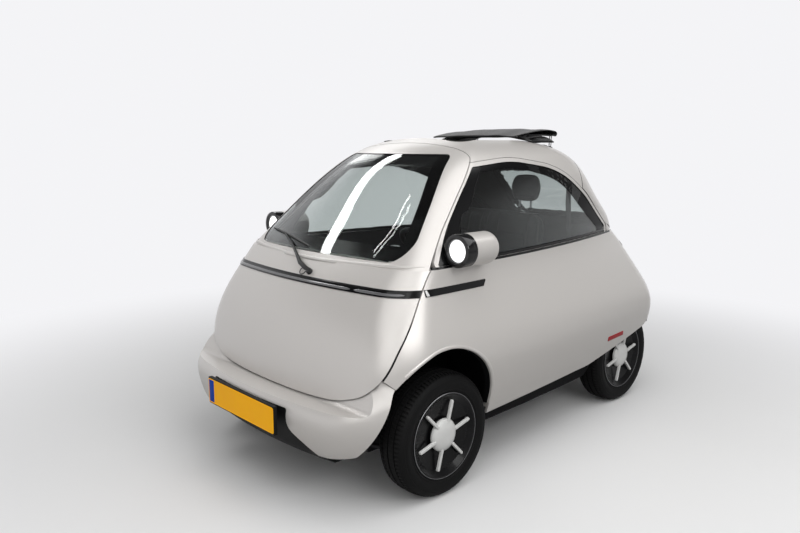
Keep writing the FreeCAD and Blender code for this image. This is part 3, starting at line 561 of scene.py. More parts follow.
def read_off(table, where):
    """A value between the rows of a two-column table."""
    for (a, low), (b, high) in zip(table, table[1:]):
        if where <= b:
            return low + (high - low) * (where - a) / (b - a)
    return table[-1][1]


side_tree = skin_of("side_windows")
for side, way in (("left", "y"), ("right", "-y")):
    middle_line = [(a + b) / 2 for a, b in zip(outer_line, inner_line)]
    edge = border_on(f"side_border_{side}", side_tree, [drawn_in(outer_line, 0.001), middle_line, inner_line],
                     way, [OUTER_FACE] * 3, ceramic, "chassis")
    belt = [-0.912 + 1.447 * k / 48 for k in range(49)]
    corners = []
    for z, lift in ((0.9585, 0.0004), (0.9605, 0.0030), (0.9655, 0.0040), (0.9705, 0.0030), (0.9725, 0.0004)):
        corners += on_surface(side_tree, [(x, z) for x in belt], way, lift)
    moulding = add_piece(f"belt_moulding_{side}", corners, ring_faces(5, len(belt), closed_columns=False),
                         gloss_black, "chassis", math.radians(60))
    heights = [0.985 + 0.353 * k / 24 for k in range(25)]
    corners = []
    for share in (0.0, 0.25, 0.5, 0.75, 1.0):
        corners += on_surface(side_tree,
                              [(read_off(SAIL_EDGE, z) * (1 - share) + read_off(GLASS_EDGE, z) * share, z)
                                          for z in heights], way, 0.0006)
    sail = add_piece(f"sail_edge_{side}", corners, ring_faces(5, len(heights), closed_columns=False),
                     gloss_black,
                     "chassis", math.radians(60))
    # a slim rubber seal stands along the slanted edge
    seal = on_surface(side_tree, [(read_off(SAIL_EDGE, z) - 0.001, z) for z in heights], way, 0.0012)
    seal += on_surface(side_tree, [(read_off(SAIL_EDGE, z) + 0.001, z) for z in heights], way, 0.0026)
    seal += on_surface(side_tree, [(read_off(SAIL_EDGE, z) + 0.003, z) for z in heights], way, 0.0012)
    rib = add_piece(f"sail_seal_{side}", seal, ring_faces(3, len(heights), closed_columns=False),
                    trim_plastic,
                    "chassis", math.radians(60))
rear_outline = smooth_outline([(-0.335, 1.0), (0.335, 1.0), (0.300, 1.335), (-0.300, 1.335)], (0.06,) * 4)
rear_frit = border_on("rear_border", skin_of("rear_window"),
                      [drawn_in(rear_outline, d) for d in (0.001, 0.012, 0.024, 0.036)],
                      "-x", [INNER_FACE] * 4, ceramic, "rear_hatch")

# ------------------------------------------------------------------ light bars and side strips
# A black bar crosses the front door under the windscreen. A smoked light tube lies along it in
# two lengths, and short black strips carry the line back along the wings.
smoked_tube = grained("smoked_tube", (0.12, 0.12, 0.125), 0.16, 0.02, 0.03, wear=0.0, Coat_Weight=0.8,
                      Coat_Roughness=0.04)
lamp_white = grained("lamp_white", (0.80, 0.80, 0.79), 0.22, 0.004, 0.08, wear=0.0, Coat_Weight=0.6,
                     Coat_Roughness=0.06)
BAR_TURN_CENTRE = 0.20


def swept(name, path, section, finish, body, ups=None, sizes=None, closed=False, smooth=math.radians(40)):
    """A section of pairs (across, up) carried along a path; the ends are closed unless it is a loop."""
    path = [Vector(p) for p in path]
    corners, count = [], len(path)
    for k, point in enumerate(path):
        before = path[k - 1] if closed or k else point
        after = path[(k + 1) % count] if closed or k < count - 1 else point
        along = (after - before).normalized()
        up = Vector(ups[k]) if ups else Vector((0, 0, 1))
        across = along.cross(up).normalized()
        up = across.cross(along)
        size = sizes[k] if sizes else 1.0
        corners += [point + (across * a + up * b) * size for a, b in section]
    quads = ring_faces(count, len(section), closed_rows=closed)
    if not closed:
        quads.append(tuple(range(len(section) - 1, -1, -1)))
        quads.append(tuple(range((count - 1) * len(section), count * len(section))))
    return add_piece(name, corners, quads, finish, body, smooth)


def half_round(width, height, steps=8):
    """A section that is flat underneath and round on top."""
    return [(width / 2 * math.cos(math.pi * k / steps), height * math.sin(math.pi * k / steps))
            for k in range(steps + 1)] + [(-width / 2, -0.002), (width / 2, -0.002)]


def ring_section(radius, steps=10, flat=1.0):
    """A round or oval section."""
    return [(radius * math.cos(2 * math.pi * k / steps), radius * flat * math.sin(2 * math.pi * k / steps))
            for k in range(steps)]


def bar_line(tree, first, last, z, centre_x, toward, steps):
    """Points and normals round the nose or tail, at one height, between two angles."""
    points, normals = [], []
    for k in range(steps + 1):
        a = math.radians(first + (last - first) * k / steps)
        out = Vector((math.cos(a) * toward, math.sin(a), 0))
        centre = Vector((centre_x, 0, z))
        hit, normal, index, far = tree.ray_cast(centre + out * 3, -out)
        if hit is None:
            continue
        points.append(hit)
        normals.append(normal if normal.dot(out) > 0 else -normal)
    return points, normals


light_tree = skin_of("light_bar")
for name, first, last in (("long", -45.0, 26.0), ("short", 27.4, 42.6)):
    points, normals = bar_line(light_tree, first, last, 0.8605, BAR_TURN_CENTRE, 1,
                               int(abs(last - first)) + 6)
    ends = [min(1.0, 0.25 + 0.75 * math.sin(math.pi / 2 * min(1.0, min(k, len(points) - 1 - k) / 2)))
            for k in range(len(points))]
    tube = swept(f"light_tube_{name}", points, half_round(0.0125, 0.0032), smoked_tube, "front_door",
                 ups=normals, sizes=ends)
rail_points, rail_normals = bar_line(light_tree, -46.0, 46.5, 0.8735, BAR_TURN_CENTRE, 1, 80)
rail = swept("light_bar_lip", rail_points, half_round(0.0035, 0.0016, 4), gloss_black, "front_door",
             ups=rail_normals)

# The door skin is stiffened by a rolled ridge that crosses it under the windscreen.
nose_tree = skin_of("door_panel")
ridge_points, ridge_normals = [], []
for k in range(61):
    y = -0.600 + 1.200 * k / 60
    hit, normal, index, far = nose_tree.ray_cast(Vector((3, y, 0.9466 + 0.043 * y * y)), Vector((-1, 0, 0)))
    if hit is not None:
        ridge_points.append(hit - normal * 0.0008)
        ridge_normals.append(normal)
ridge = swept("waist_ridge", ridge_points, half_round(0.020, 0.0085), end_paint, "front_door",
              ups=ridge_normals,
              sizes=[min(1.0, 0.3 + min(k, len(ridge_points) - 1 - k) * 0.18)
                     for k in range(len(ridge_points))])
# A thin black cord along the ridge's lower edge is painted shade under the ridge.
ridge_shade_line = swept("waist_ridge_shade", [p - Vector((0, 0, 0.0115)) for p in ridge_points], ring_section(0.0024, 8),
                   trim_plastic, "front_door", ups=ridge_normals)

strip_tree = skin_of("side_strips")
for side, way in (("left", "y"), ("right", "-y")):
    insert = smooth_outline([(0.762, 0.8525), (0.777, 0.8525), (0.779, 0.8755), (0.770, 0.8755)],
                            (0.003, 0.003, 0.004, 0.003), 3)
    lamp = border_on(f"strip_lamp_{side}", strip_tree, [insert, insert, drawn_in(insert, 0.0012),
                                                       drawn_in(insert, 0.003)],
                     way, (-0.001, 0.0006, 0.0014, 0.0016), lamp_white, "chassis", filled=True)

# ------------------------------------------------------------------ side markers
# Dark red reflectors, set flush in the sills ahead of the rear wheels, with a slanted front end.
marker_red = grained("marker_red", (0.40, 0.004, 0.010), 0.25, 0.005, 0.35, wear=0.0, Specular_IOR_Level=0.1)
MARKER = [(-0.772, 0.411), (-0.585, 0.411), (-0.578, 0.438), (-0.757, 0.438)]
for side, way in (("left", "y"), ("right", "-y")):
    outline = smooth_outline(MARKER, (0.006, 0.006, 0.006, 0.006), 4)
    marker = border_on(f"side_marker_{side}", skin_of(f"side_panel_{side}"),
                       [outline, outline, drawn_in(outline, 0.0015), drawn_in(outline, 0.005)], way,
                       (-0.002, 0.0008, 0.0018, 0.0021), marker_red, "chassis", filled=True)

# ------------------------------------------------------------------ sill edges and arch lips
# The flank's lower edge is turned under and hangs a little lower towards the front. A rolled lip
# runs round each front wheel arch, and a black strip over the flange inside it stands for the dark liner and
# for painted shade.
SILL_BACK, SILL_FRONT, SILL_TOP = -0.40, FRONT_AXLE - 0.275, 0.3125
SILL_STATIONS, LIP_STATIONS = 40, 80
arch_centre = Vector((FRONT_AXLE + 0.02, 0.0, 0.36))
LIP = ((-0.0040, -0.0120), (-0.0032, -0.0030), (-0.0010, 0.0018), (0.0040, 0.0030), (0.0090, 0.0020),
       (0.0125, -0.0004))  # distance out from the arch's edge, and off the skin
# The black strip over the inner flange is partly the dark arch liner and partly painted shade inside the
# arch.
RETURN_SHADE = ((-0.0050, -0.0100), (-0.0050, -0.0400), (0.0010, -0.0420))


def skin_out(trees, x, z, sign):
    """How far out a flank's skin is at one place, or nothing in an opening."""
    hits = [tree.ray_cast(Vector((x, 2 * sign, z)), Vector((0, -sign, 0)))[0] for tree in trees]
    outs = [hit.y * sign for hit in hits if hit is not None and hit.y * sign > 0.5]
    return max(outs) if outs else None


for side, sign in (("left", 1), ("right", -1)):
    trees = [skin_of(f"side_panel_{side}"), skin_of("front_bumper")]
    stations, sizes = [], 0
    for k in range(SILL_STATIONS + 1):
        x = SILL_BACK + (SILL_FRONT - SILL_BACK) * k / SILL_STATIONS
        reach = max(0.0, (x + 0.30) / (SILL_FRONT + 0.30))
        drop = 0.0015 + 0.0255 * reach ** 1.15
        low_out, high_out = (skin_out(trees, x, SILL_TOP + 0.001, sign),
                             skin_out(trees, x, SILL_TOP + 0.022, sign))
        if low_out is None or high_out is None:
            continue
        lean = min(max((high_out - low_out) / 0.021, 0.0), 0.35)
        section = [(low_out + 0.0003, SILL_TOP + 0.0012)]
        section += [(low_out + 0.0003 - lean * drop * share, SILL_TOP - drop * share)
                    for share in (0.1, 0.5, 0.85, 1.0)]
        section += [(section[-1][0] - 0.0025, SILL_TOP - drop - 0.0012),
                    (section[-1][0] - 0.011, SILL_TOP - drop + 0.001),
                    (low_out - 0.012, SILL_TOP - 0.0005)]
        stations += [(x, y * sign, z) for y, z in section]
        sizes = len(section)
    rows = len(stations) // sizes
    quads = ring_faces(rows, sizes)
    quads += [tuple(range(sizes - 1, -1, -1)), tuple(range((rows - 1) * sizes, rows * sizes))]
    sill = add_piece(f"sill_edge_{side}", stations, quads, paint, "chassis", math.radians(50))

    lip_rows, return_shade_rows = [], []
    for k in range(LIP_STATIONS):
        a = math.radians(185 - 141.5 * k / (LIP_STATIONS - 1))
        near, far = 0.10, 0.60
        for _ in range(14):
            middle = (near + far) / 2
            covered = skin_out(trees, arch_centre.x + middle * math.cos(a),
                               arch_centre.z + middle * math.sin(a), sign)
            near, far = (near, middle) if covered else (middle, far)
        for profile, rows in ((LIP, lip_rows), (RETURN_SHADE, return_shade_rows)):
            for away, off in profile:
                at_edge = skin_out(trees, arch_centre.x + (far + max(away, 0.001)) * math.cos(a),
                                   arch_centre.z + (far + max(away, 0.001)) * math.sin(a), sign)
                rows.append((arch_centre.x + (far + away) * math.cos(a), ((at_edge or 0.7) + off) * sign,
                             arch_centre.z + (far + away) * math.sin(a)))
    lip = add_piece(f"arch_lip_{side}", lip_rows, ring_faces(LIP_STATIONS, len(LIP), closed_columns=False),
                    paint, "chassis",
                    math.radians(70))
    # black strip on the arch's inner flange: dark liner and painted shade
    seal = add_piece(f"arch_return_shade_{side}", return_shade_rows,
                     ring_faces(LIP_STATIONS, len(RETURN_SHADE), closed_columns=False),
                     liner_plastic, "chassis", math.radians(70))

# ------------------------------------------------------------------ wiper
# One black arm turns on a short post under the glass. Its spring end, the folded steel arm and
# the rubber blade with its carrier are separate, and the washer hose makes a small loop.
wiper_black = grained("wiper_black", (0.012, 0.012, 0.012), 0.40, 0.003, 0.25, wear=0.4,
                      worn_colour=(0.10, 0.10, 0.10))
door_tree = skin_of("door_panel")
screen_tree = skin_of("windscreen")


def off_nose(y, z, out):
    """A point ahead of the door or its glass."""
    hits = [tree.ray_cast(Vector((3, y, z)), Vector((-1, 0, 0)))[0] for tree in (door_tree, screen_tree)]
    return Vector((max(hit.x for hit in hits if hit) + out, y, z))


post_foot, post_head = off_nose(0.071, 0.893, -0.001), off_nose(0.070, 0.905, 0.020)
post = swept("wiper_post",
             [post_foot, post_foot.lerp(post_head, 0.5), post_foot.lerp(post_head, 0.86), post_head],
             ring_section(0.0145, 20), wiper_black, "front_door", sizes=(1.0, 0.95, 0.92, 0.55))
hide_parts("wiper")
arm_line = [off_nose(0.075, 0.903, 0.014), off_nose(0.045, 0.911, 0.021), off_nose(-0.01, 0.927, 0.023),
            off_nose(-0.07, 0.951, 0.023), off_nose(-0.14, 0.979, 0.023), off_nose(-0.21, 1.001, 0.021),
            off_nose(-0.262, 1.012, 0.018), off_nose(-0.292, 1.018, 0.013)]
ARM = [(-0.0055, -0.0035), (0.0055, -0.0035), (0.0055, 0.002), (0.0035, 0.0038), (-0.0035, 0.0038),
       (-0.0055, 0.002)]
arm = swept("wiper_arm", arm_line, ARM, wiper_black, "front_door", ups=[(1, 0, 0.3)] * len(arm_line),
            sizes=(1.5, 1.7, 1.6, 1.2, 1.0, 0.9, 0.8, 0.8))
blade_line = [off_nose(-0.452 + 0.412 * k / 12, 1.0285 - 0.0000 * k - 0.040 * (k / 12) ** 1.6, 0.0085)
              for k in range(13)]
BLADE = [(-0.0045, -0.001), (-0.0012, -0.0055), (0.0012, -0.0055), (0.0045, -0.001), (0.0042, 0.003),
         (0.0, 0.0062),
         (-0.0042, 0.003)]
blade = swept("wiper_blade", blade_line, BLADE, wiper_black, "front_door", ups=[(1, 0, 0.4)] * 13,
              sizes=[0.7] + [0.85 + 0.35 * math.sin(math.pi * k / 12) for k in range(1, 12)] + [0.7])
hose_line = []
loop_middle = off_nose(0.028, 0.896, 0.007)
for k in range(25):
    a = math.radians(40 + 320 * k / 24)
    hose_line.append(off_nose(loop_middle.y + 0.020 * math.cos(a), loop_middle.z + 0.0145 * math.sin(a),
                              0.006 + 0.004 * k / 24))
hose = swept("washer_hose", hose_line, ring_section(0.0022, 8), wiper_black, "front_door",
             ups=[(1, 0, 0.3)] * len(hose_line))

# ------------------------------------------------------------------ lamp pods
# Each pod is a painted shell with a gloss black front ring. A bright domed lens sits in the
# ring, and a round mirror is let into the shell's rear.
lens_lit = new_finish("lamp_lens_lit", (0.92, 0.92, 0.92), 0.12, Emission_Color=(1.0, 1.0, 1.0, 1.0),
                      Emission_Strength=1.6, Coat_Weight=0.6, Coat_Roughness=0.03)
flutes, flutes_in, flutes_out = new_effect(
    "lens_flutes", [("Colour", "Color"), ("Edge Colour", "Color"), ("Radius", "Float")],
    [("Colour", "Color"), ("Normal", "Vector")])
place = flutes.nodes.new("ShaderNodeTexCoord")
from_axis = finish_step(flutes, "VectorMath", {1: (1.0, 0.0, 1.0), 0: place.outputs["Object"]},
                        operation="MULTIPLY")
reach = finish_step(flutes, "VectorMath", {0: from_axis.outputs[0]}, operation="LENGTH")
share = finish_step(flutes, "Math", {0: reach.outputs["Value"], 1: flutes_in.outputs["Radius"]},
                    operation="DIVIDE")
rim_fade = finish_step(flutes, "MapRange", {"From Min": 0.86, "From Max": 1.0, "Value": share.outputs[0]})
lens_mix = finish_step(flutes, "Mix", {"Factor": rim_fade.outputs[0], "A": flutes_in.outputs["Colour"],
                                       "B": flutes_in.outputs["Edge Colour"]}, data_type="RGBA")
flutes.links.new(lens_mix.outputs["Result"], flutes_out.inputs["Colour"])
ripple = finish_step(flutes, "TexWave", {"Scale": 60.0, "Vector": place.outputs["Object"]},
                     bands_direction="X")
wavy = finish_step(flutes, "Bump", {"Strength": 0.15, "Distance": 0.0006, "Height": ripple.outputs["Fac"]})
flutes.links.new(wavy.outputs[0], flutes_out.inputs["Normal"])
place_effect(lens_lit, flutes, {"Colour": "Emission Color", "Normal": "Normal"}, Colour=(1.0, 1.0, 1.0),
             Edge_Colour=(0.45, 0.46, 0.48), Radius=0.0462)
lens_dark = grained("lamp_bezel_black", (0.003, 0.003, 0.0035), 0.08, 0.02, 0.02, wear=0.0, Coat_Weight=0.4,
                    Coat_Roughness=0.03, Specular_IOR_Level=0.35)
mirror_silver = grained("mirror_silver", (0.80, 0.82, 0.84), 0.02, 0.05, 0.0, wear=0.0, Metallic=1.0)
lens_low, lens_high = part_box("headlamps")
LAMP_HEIGHT = (lens_low.z + lens_high.z) / 2
LAMP_OUT = lens_high.y - (lens_high.z - lens_low.z) / 2
LENS = [(0.3, -6.5), (10, -6.2), (20, -5.2), (30, -3.5), (38, -1.4), (43.5, 0.8), (46.0, 2.6), (46.2, 5.5),
        (0.3, 5.6)]
RING = [(46.9, 6.6), (46.9, -0.6), (48.4, -4.8), (52, -7.6), (57, -8.2), (63, -8.0), (67.2, -6.4),
        (68.9, -3.0),
        (68.9, 30.0), (68.2, 30.4), (68.2, 31.6), (68.9, 32.0), (68.9, 48.4), (46.9, 48.4)]
MIRROR = [(0.3, -0.4), (15, -0.3), (30, 0.1), (42, 0.8), (44.4, 1.4), (44.8, 2.8), (0.3, 2.9)]


for side, sign in (("left", 1), ("right", -1)):
    where = Vector((lens_high.x, sign * LAMP_OUT, LAMP_HEIGHT))
    lens = add_piece(f"lamp_lens_{side}", turned_corners(LENS, 64),
                     ring_faces(len(LENS), 64) + [tuple(range(63, -1, -1)),
                                                  tuple(range((len(LENS) - 1) * 64, len(LENS) * 64))],
                                                  lens_lit)
    lens.location = where
    lens.rotation_euler = (0, 0, -math.pi / 2)
    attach(lens, "chassis")
    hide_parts("headlamps")
    ring = add_piece(f"lamp_ring_{side}", turned_corners(RING, 64),
                     ring_faces(len(RING), 64, closed_rows=True),
                     lens_dark)
    ring.location = where
    ring.rotation_euler = (0, 0, -math.pi / 2)
    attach(ring, "chassis")
    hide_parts("lamp_bezels")
    mirror_low, mirror_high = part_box("mirror_glasses")
    glass_face = add_piece(f"mirror_face_{side}", turned_corners(MIRROR, 64),
                           ring_faces(len(MIRROR), 64) + [tuple(range(63, -1, -1)),
                                                          tuple(range((len(MIRROR) - 1) * 64,
                                                                      len(MIRROR) * 64))],
                           mirror_silver)
    glass_face.location = (mirror_low.x, sign * LAMP_OUT, LAMP_HEIGHT)
    glass_face.rotation_euler = (0, 0, math.pi / 2)
    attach(glass_face, "chassis")
    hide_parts("mirror_glasses")

# ------------------------------------------------------------------ seat
# A two-seat bench on a steel base: foam pads under woven black cloth, sewn in panels, with a
# cord piped round the front edges. The backrest leans back and has rounded shoulders.
weave, weave_in, weave_out = new_effect(
    "woven_cloth",
    [("Colour", "Color"), ("Second Colour", "Color"), ("Roughness", "Float"), ("Thread", "Float"),
     ("Relief", "Float")],
    [("Colour", "Color"), ("Roughness", "Float"), ("Normal", "Vector")])
place = weave.nodes.new("ShaderNodeTexCoord")
pitch = finish_step(weave, "Math", {0: 0.05, 1: weave_in.outputs["Thread"]}, operation="DIVIDE")
threads = []
for direction in ("Y", "DIAGONAL"):
    thread = finish_step(weave, "TexWave", {"Distortion": 0.6, "Vector": place.outputs["Object"],
                                            "Scale": pitch.outputs[0]}, bands_direction=direction)
    threads.append(thread)
crossing = finish_step(weave, "Math", {0: threads[0].outputs["Fac"], 1: threads[1].outputs["Fac"]},
                       operation="MULTIPLY")
nap = finish_step(weave, "TexNoise", {"Scale": 9.0, "Detail": 5.0, "Vector": place.outputs["Object"]})
worn_nap = finish_step(weave, "MapRange", {"From Min": 0.35, "From Max": 0.70, "Value": nap.outputs["Fac"]})
light_thread = finish_step(weave, "Math", {0: crossing.outputs[0], 1: worn_nap.outputs[0]},
                           operation="MULTIPLY")
dye = finish_step(weave, "Mix", {"Factor": light_thread.outputs[0], "A": weave_in.outputs["Colour"],
                                 "B": weave_in.outputs["Second Colour"]}, data_type="RGBA")
weave.links.new(dye.outputs["Result"], weave_out.inputs["Colour"])
dull = finish_step(weave, "Math", {1: 0.15, 0: worn_nap.outputs[0], 2: weave_in.outputs["Roughness"]},
                   operation="MULTIPLY_ADD")
weave.links.new(dull.outputs[0], weave_out.inputs["Roughness"])
cloth_relief = finish_step(weave, "Bump", {"Distance": 0.0008, "Strength": weave_in.outputs["Relief"],
                                           "Height": crossing.outputs[0]})
weave.links.new(cloth_relief.outputs[0], weave_out.inputs["Normal"])


def woven(name, colour, second, thread, relief, roughness=0.78, **sockets):
    """A cloth with threads of one width and a lighter nap."""
    finish = new_finish(name, colour, roughness, Sheen_Roughness=0.45, **sockets)
    place_effect(finish, weave, SURFACE, Colour=colour, Second_Colour=second, Roughness=roughness,
                 Thread=thread,
                 Relief=relief)
    return finish


seat_cloth = woven("seat_cloth", (0.007, 0.007, 0.0075), (0.026, 0.026, 0.027), 0.0016, 0.5,
                   Sheen_Weight=0.12)
piping_cloth = woven("seat_piping", (0.035, 0.035, 0.036), (0.09, 0.09, 0.09), 0.0010, 0.4, Sheen_Weight=0.2)


def pad_corners(outline, thickness, edge, place, steps=5):
    """A slab with an outline and rounded edges, set out by a place of origin, along, up and out."""
    origin, along, up, out = place
    rings = [(edge * (1 - math.sin(math.pi / 2 * k / steps)),
              -thickness / 2 + edge * (1 - math.cos(math.pi / 2 * k / steps)))
             for k in range(steps + 1)]
    rings += [(inset, -depth) for inset, depth in reversed(rings)]
    corners = []
    for inset, depth in rings:
        corners += [origin + along * p.x + up * p.y + out * depth for p in drawn_in(outline, inset)]
    count = len(outline)
    faces = ring_faces(len(rings), count)
    faces.append(tuple(range(count - 1, -1, -1)))
    faces.append(tuple(range((len(rings) - 1) * count, len(rings) * count)))
    return corners, faces


def swell(piece, voxel, pressure, cap):
    """Blows a closed form up like a stuffed cover, no point further than the cap."""
    bpy.context.view_layer.objects.active = piece
    remesh = piece.modifiers.new("even_mesh", "REMESH")
    remesh.mode = "VOXEL"
    remesh.voxel_size = voxel
    graph = bpy.context.evaluated_depsgraph_get()
    even = bpy.data.meshes.new_from_object(piece.evaluated_get(graph))
    piece.modifiers.clear()
    finish = piece.data.materials[0]
    piece.data = even
    piece.data.materials.clear()
    piece.data.materials.append(finish)
    before = [v.co.copy() for v in even.vertices]
    cover = piece.modifiers.new("cover", "CLOTH")
    cover.settings.quality = 5
    cover.settings.mass = 0.3
    cover.settings.tension_stiffness = 12.0
    cover.settings.compression_stiffness = 12.0
    cover.settings.bending_stiffness = 0.6
    cover.settings.use_pressure = True
    cover.settings.uniform_pressure_force = pressure
    cover.settings.effector_weights.gravity = 0.0
    for step in range(1, 21):
        bpy.context.scene.frame_set(step)
    graph = bpy.context.evaluated_depsgraph_get()
    blown = bpy.data.meshes.new_from_object(piece.evaluated_get(graph))
    moved = [v.co.copy() for v in blown.vertices]
    piece.modifiers.clear()
    bpy.context.scene.frame_set(1)
    for vertex, start, end in zip(piece.data.vertices, before, moved):
        step = end - start
        vertex.co = start + step * min(1.0, cap / max(step.length, 1e-9))
    finer = piece.modifiers.new("finer", "SUBSURF")
    finer.levels = finer.render_levels = 1
    graph = bpy.context.evaluated_depsgraph_get()
    fine = bpy.data.meshes.new_from_object(piece.evaluated_get(graph))
    piece.modifiers.clear()
    piece.data = fine
    return piece


def sew(piece, place, lines, depth, width):
    """Presses seams into a pad's outer face: each line is a start and an end on the pad's plane."""
    origin, along, up, out = place
    for vertex in piece.data.vertices:
        flat = vertex.co - origin
        here = Vector((flat.dot(along), flat.dot(up)))
        if flat.dot(out) < 0:
            continue
        press = 0.0
        for a, b in lines:
            a, b = Vector(a), Vector(b)
            share = max(0.0, min(1.0, (here - a).dot(b - a) / (b - a).length_squared))
            gap = (here - a.lerp(b, share)).length
            press = max(press, math.exp(-(gap / width) ** 2))
        vertex.co -= out * depth * press
    piece.data.shade_smooth()


def keep_inside(piece, node, spare):
    """Holds a pad inside its own CAD solid's box."""
    low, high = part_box(node)
    for vertex in piece.data.vertices:
        vertex.co = Vector([min(max(c, a + spare), b - spare) for c, a, b in zip(vertex.co, low, high)])


def piping(name, outline, inset, height, place, body):
    """A sewn cord round a pad's outer face."""
    origin, along, up, out = place
    line = [origin + along * p.x + up * p.y + out * height for p in drawn_in(outline, inset)]
    cord = swept(name, line, ring_section(0.0030, 8), piping_cloth, body, ups=[out] * len(line), closed=True)
    return cord


LEAN = math.radians(12.4)
BACK_PLACE = (Vector((-0.218, 0.0, 0.412)), Vector((0, 1, 0)), Vector((-math.sin(LEAN), 0, math.cos(LEAN))),
              Vector((math.cos(LEAN), 0, math.sin(LEAN))))
back_outline = smooth_outline([(-0.392, 0.0), (0.392, 0.0), (0.392, 0.45), (0.372, 0.698), (-0.372, 0.698),
                               (-0.392, 0.45)], (0.03, 0.03, 0.6, 0.105, 0.105, 0.6), 9)
corners, faces = pad_corners(back_outline, 0.066, 0.026, BACK_PLACE)
backrest = add_piece("seat_backrest", corners, faces, seat_cloth)
swell(backrest, 0.008, 4.0, 0.014)
panel_seams = []
for side in (-1, 1):
    for u in (0.022, 0.105, 0.300):
        panel_seams.append(((side * u, 0.02), (side * u, 0.66)))
    for v in (0.12, 0.23, 0.34, 0.45, 0.56):
        panel_seams.append(((side * 0.105, v), (side * 0.300, v)))
sew(backrest, BACK_PLACE, panel_seams, 0.0075, 0.0055)
keep_inside(backrest, "seat_back", 0.001)
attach(backrest, "chassis")
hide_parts("seat_back")
piping("backrest_piping", back_outline, 0.012, 0.033, BACK_PLACE, "chassis")

RISE = math.radians(4.0)
CUSHION_PLACE = (Vector((0.062, 0.0, 0.466)), Vector((0, 1, 0)),
                 Vector((-math.cos(RISE), 0, -math.sin(RISE))),
                 Vector((-math.sin(RISE), 0, math.cos(RISE))))
cushion_outline = smooth_outline([(-0.505, -0.218), (0.505, -0.218), (0.510, 0.218), (-0.510, 0.218)],
                                 (0.075, 0.075, 0.04, 0.04), 9)
corners, faces = pad_corners(cushion_outline, 0.098, 0.034, CUSHION_PLACE)
cushion = add_piece("seat_base_cushion", corners, faces, seat_cloth)
swell(cushion, 0.009, 4.0, 0.024)
panel_seams = []
for side in (-1, 1):
    for u in (0.022, 0.135, 0.400):
        panel_seams.append(((side * u, -0.20), (side * u, 0.21)))
    for v in (-0.12, -0.02, 0.08):
        panel_seams.append(((side * 0.135, v), (side * 0.400, v)))
sew(cushion, CUSHION_PLACE, panel_seams, 0.0075, 0.0055)
keep_inside(cushion, "seat_cushion", 0.001)
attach(cushion, "chassis")
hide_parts("seat_cushion")
piping("cushion_piping", cushion_outline, 0.014, 0.048, CUSHION_PLACE, "chassis")

# ------------------------------------------------------------------ head restraints
# Two foam pads in the same cloth, rounder at the top, each on a pair of steel posts that run
# down into the backrest through moulded sleeves.
post_steel = grained("post_steel", (0.32, 0.32, 0.33), 0.24, 0.002, 0.05, wear=0.0, Metallic=1.0)
rest_low, rest_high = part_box("head_restraints")
rest_middle = (rest_low + rest_high) / 2
REST_OUT, REST_FOOT = 0.231, 1.140
rest_outline = smooth_outline([(-0.070, -0.068), (0.070, -0.068), (0.088, 0.008), (0.066, 0.071),
                               (-0.066, 0.071),
                               (-0.088, 0.008)], (0.045, 0.045, 0.08, 0.06, 0.06, 0.08), 9)
for side, sign in (("left", 1), ("right", -1)):
    seat_place = (Vector((rest_middle.x, sign * REST_OUT, (REST_FOOT + rest_high.z) / 2)), Vector((0, 1, 0)),
                  Vector((0, 0, 1)), Vector((1, 0, 0)))
    corners, faces = pad_corners(rest_outline, 0.066, 0.028, seat_place)
    rest = add_piece(f"head_pad_{side}", corners, faces, seat_cloth)
    swell(rest, 0.005, 5.0, 0.009)
    sew(rest, seat_place, [((-0.09, -0.030), (0.09, -0.030))], 0.004, 0.004)
    for vertex in rest.data.vertices:
        y_low, y_high = sorted((sign * 0.1455, sign * 0.3165))
        vertex.co.x = min(max(vertex.co.x, rest_low.x + 0.0005), rest_high.x - 0.0005)
        vertex.co.y = min(max(vertex.co.y, y_low), y_high)
        vertex.co.z = min(max(vertex.co.z, REST_FOOT), rest_high.z - 0.0005)
    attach(rest, "chassis")
    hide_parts("head_restraints")
    for name, y in (("inner", 0.195), ("outer", 0.267)):
        foot, head = Vector((-0.3765, sign * y, 1.098)), Vector((-0.381, sign * y, 1.150))
        rod = swept(f"head_post_{side}_{name}", [foot, foot.lerp(head, 0.5), head], ring_section(0.0055, 16),
                    post_steel, "chassis", ups=[(1, 0, 0)] * 3)
        sleeve = swept(f"head_sleeve_{side}_{name}",
                       [foot + Vector((0, 0, z)) for z in (-0.004, 0.004, 0.011, 0.0125)],
                       ring_section(0.0115, 16), trim_plastic, "chassis", ups=[(1, 0, 0)] * 4,
                       sizes=(1.0, 1.0, 0.85, 0.62))
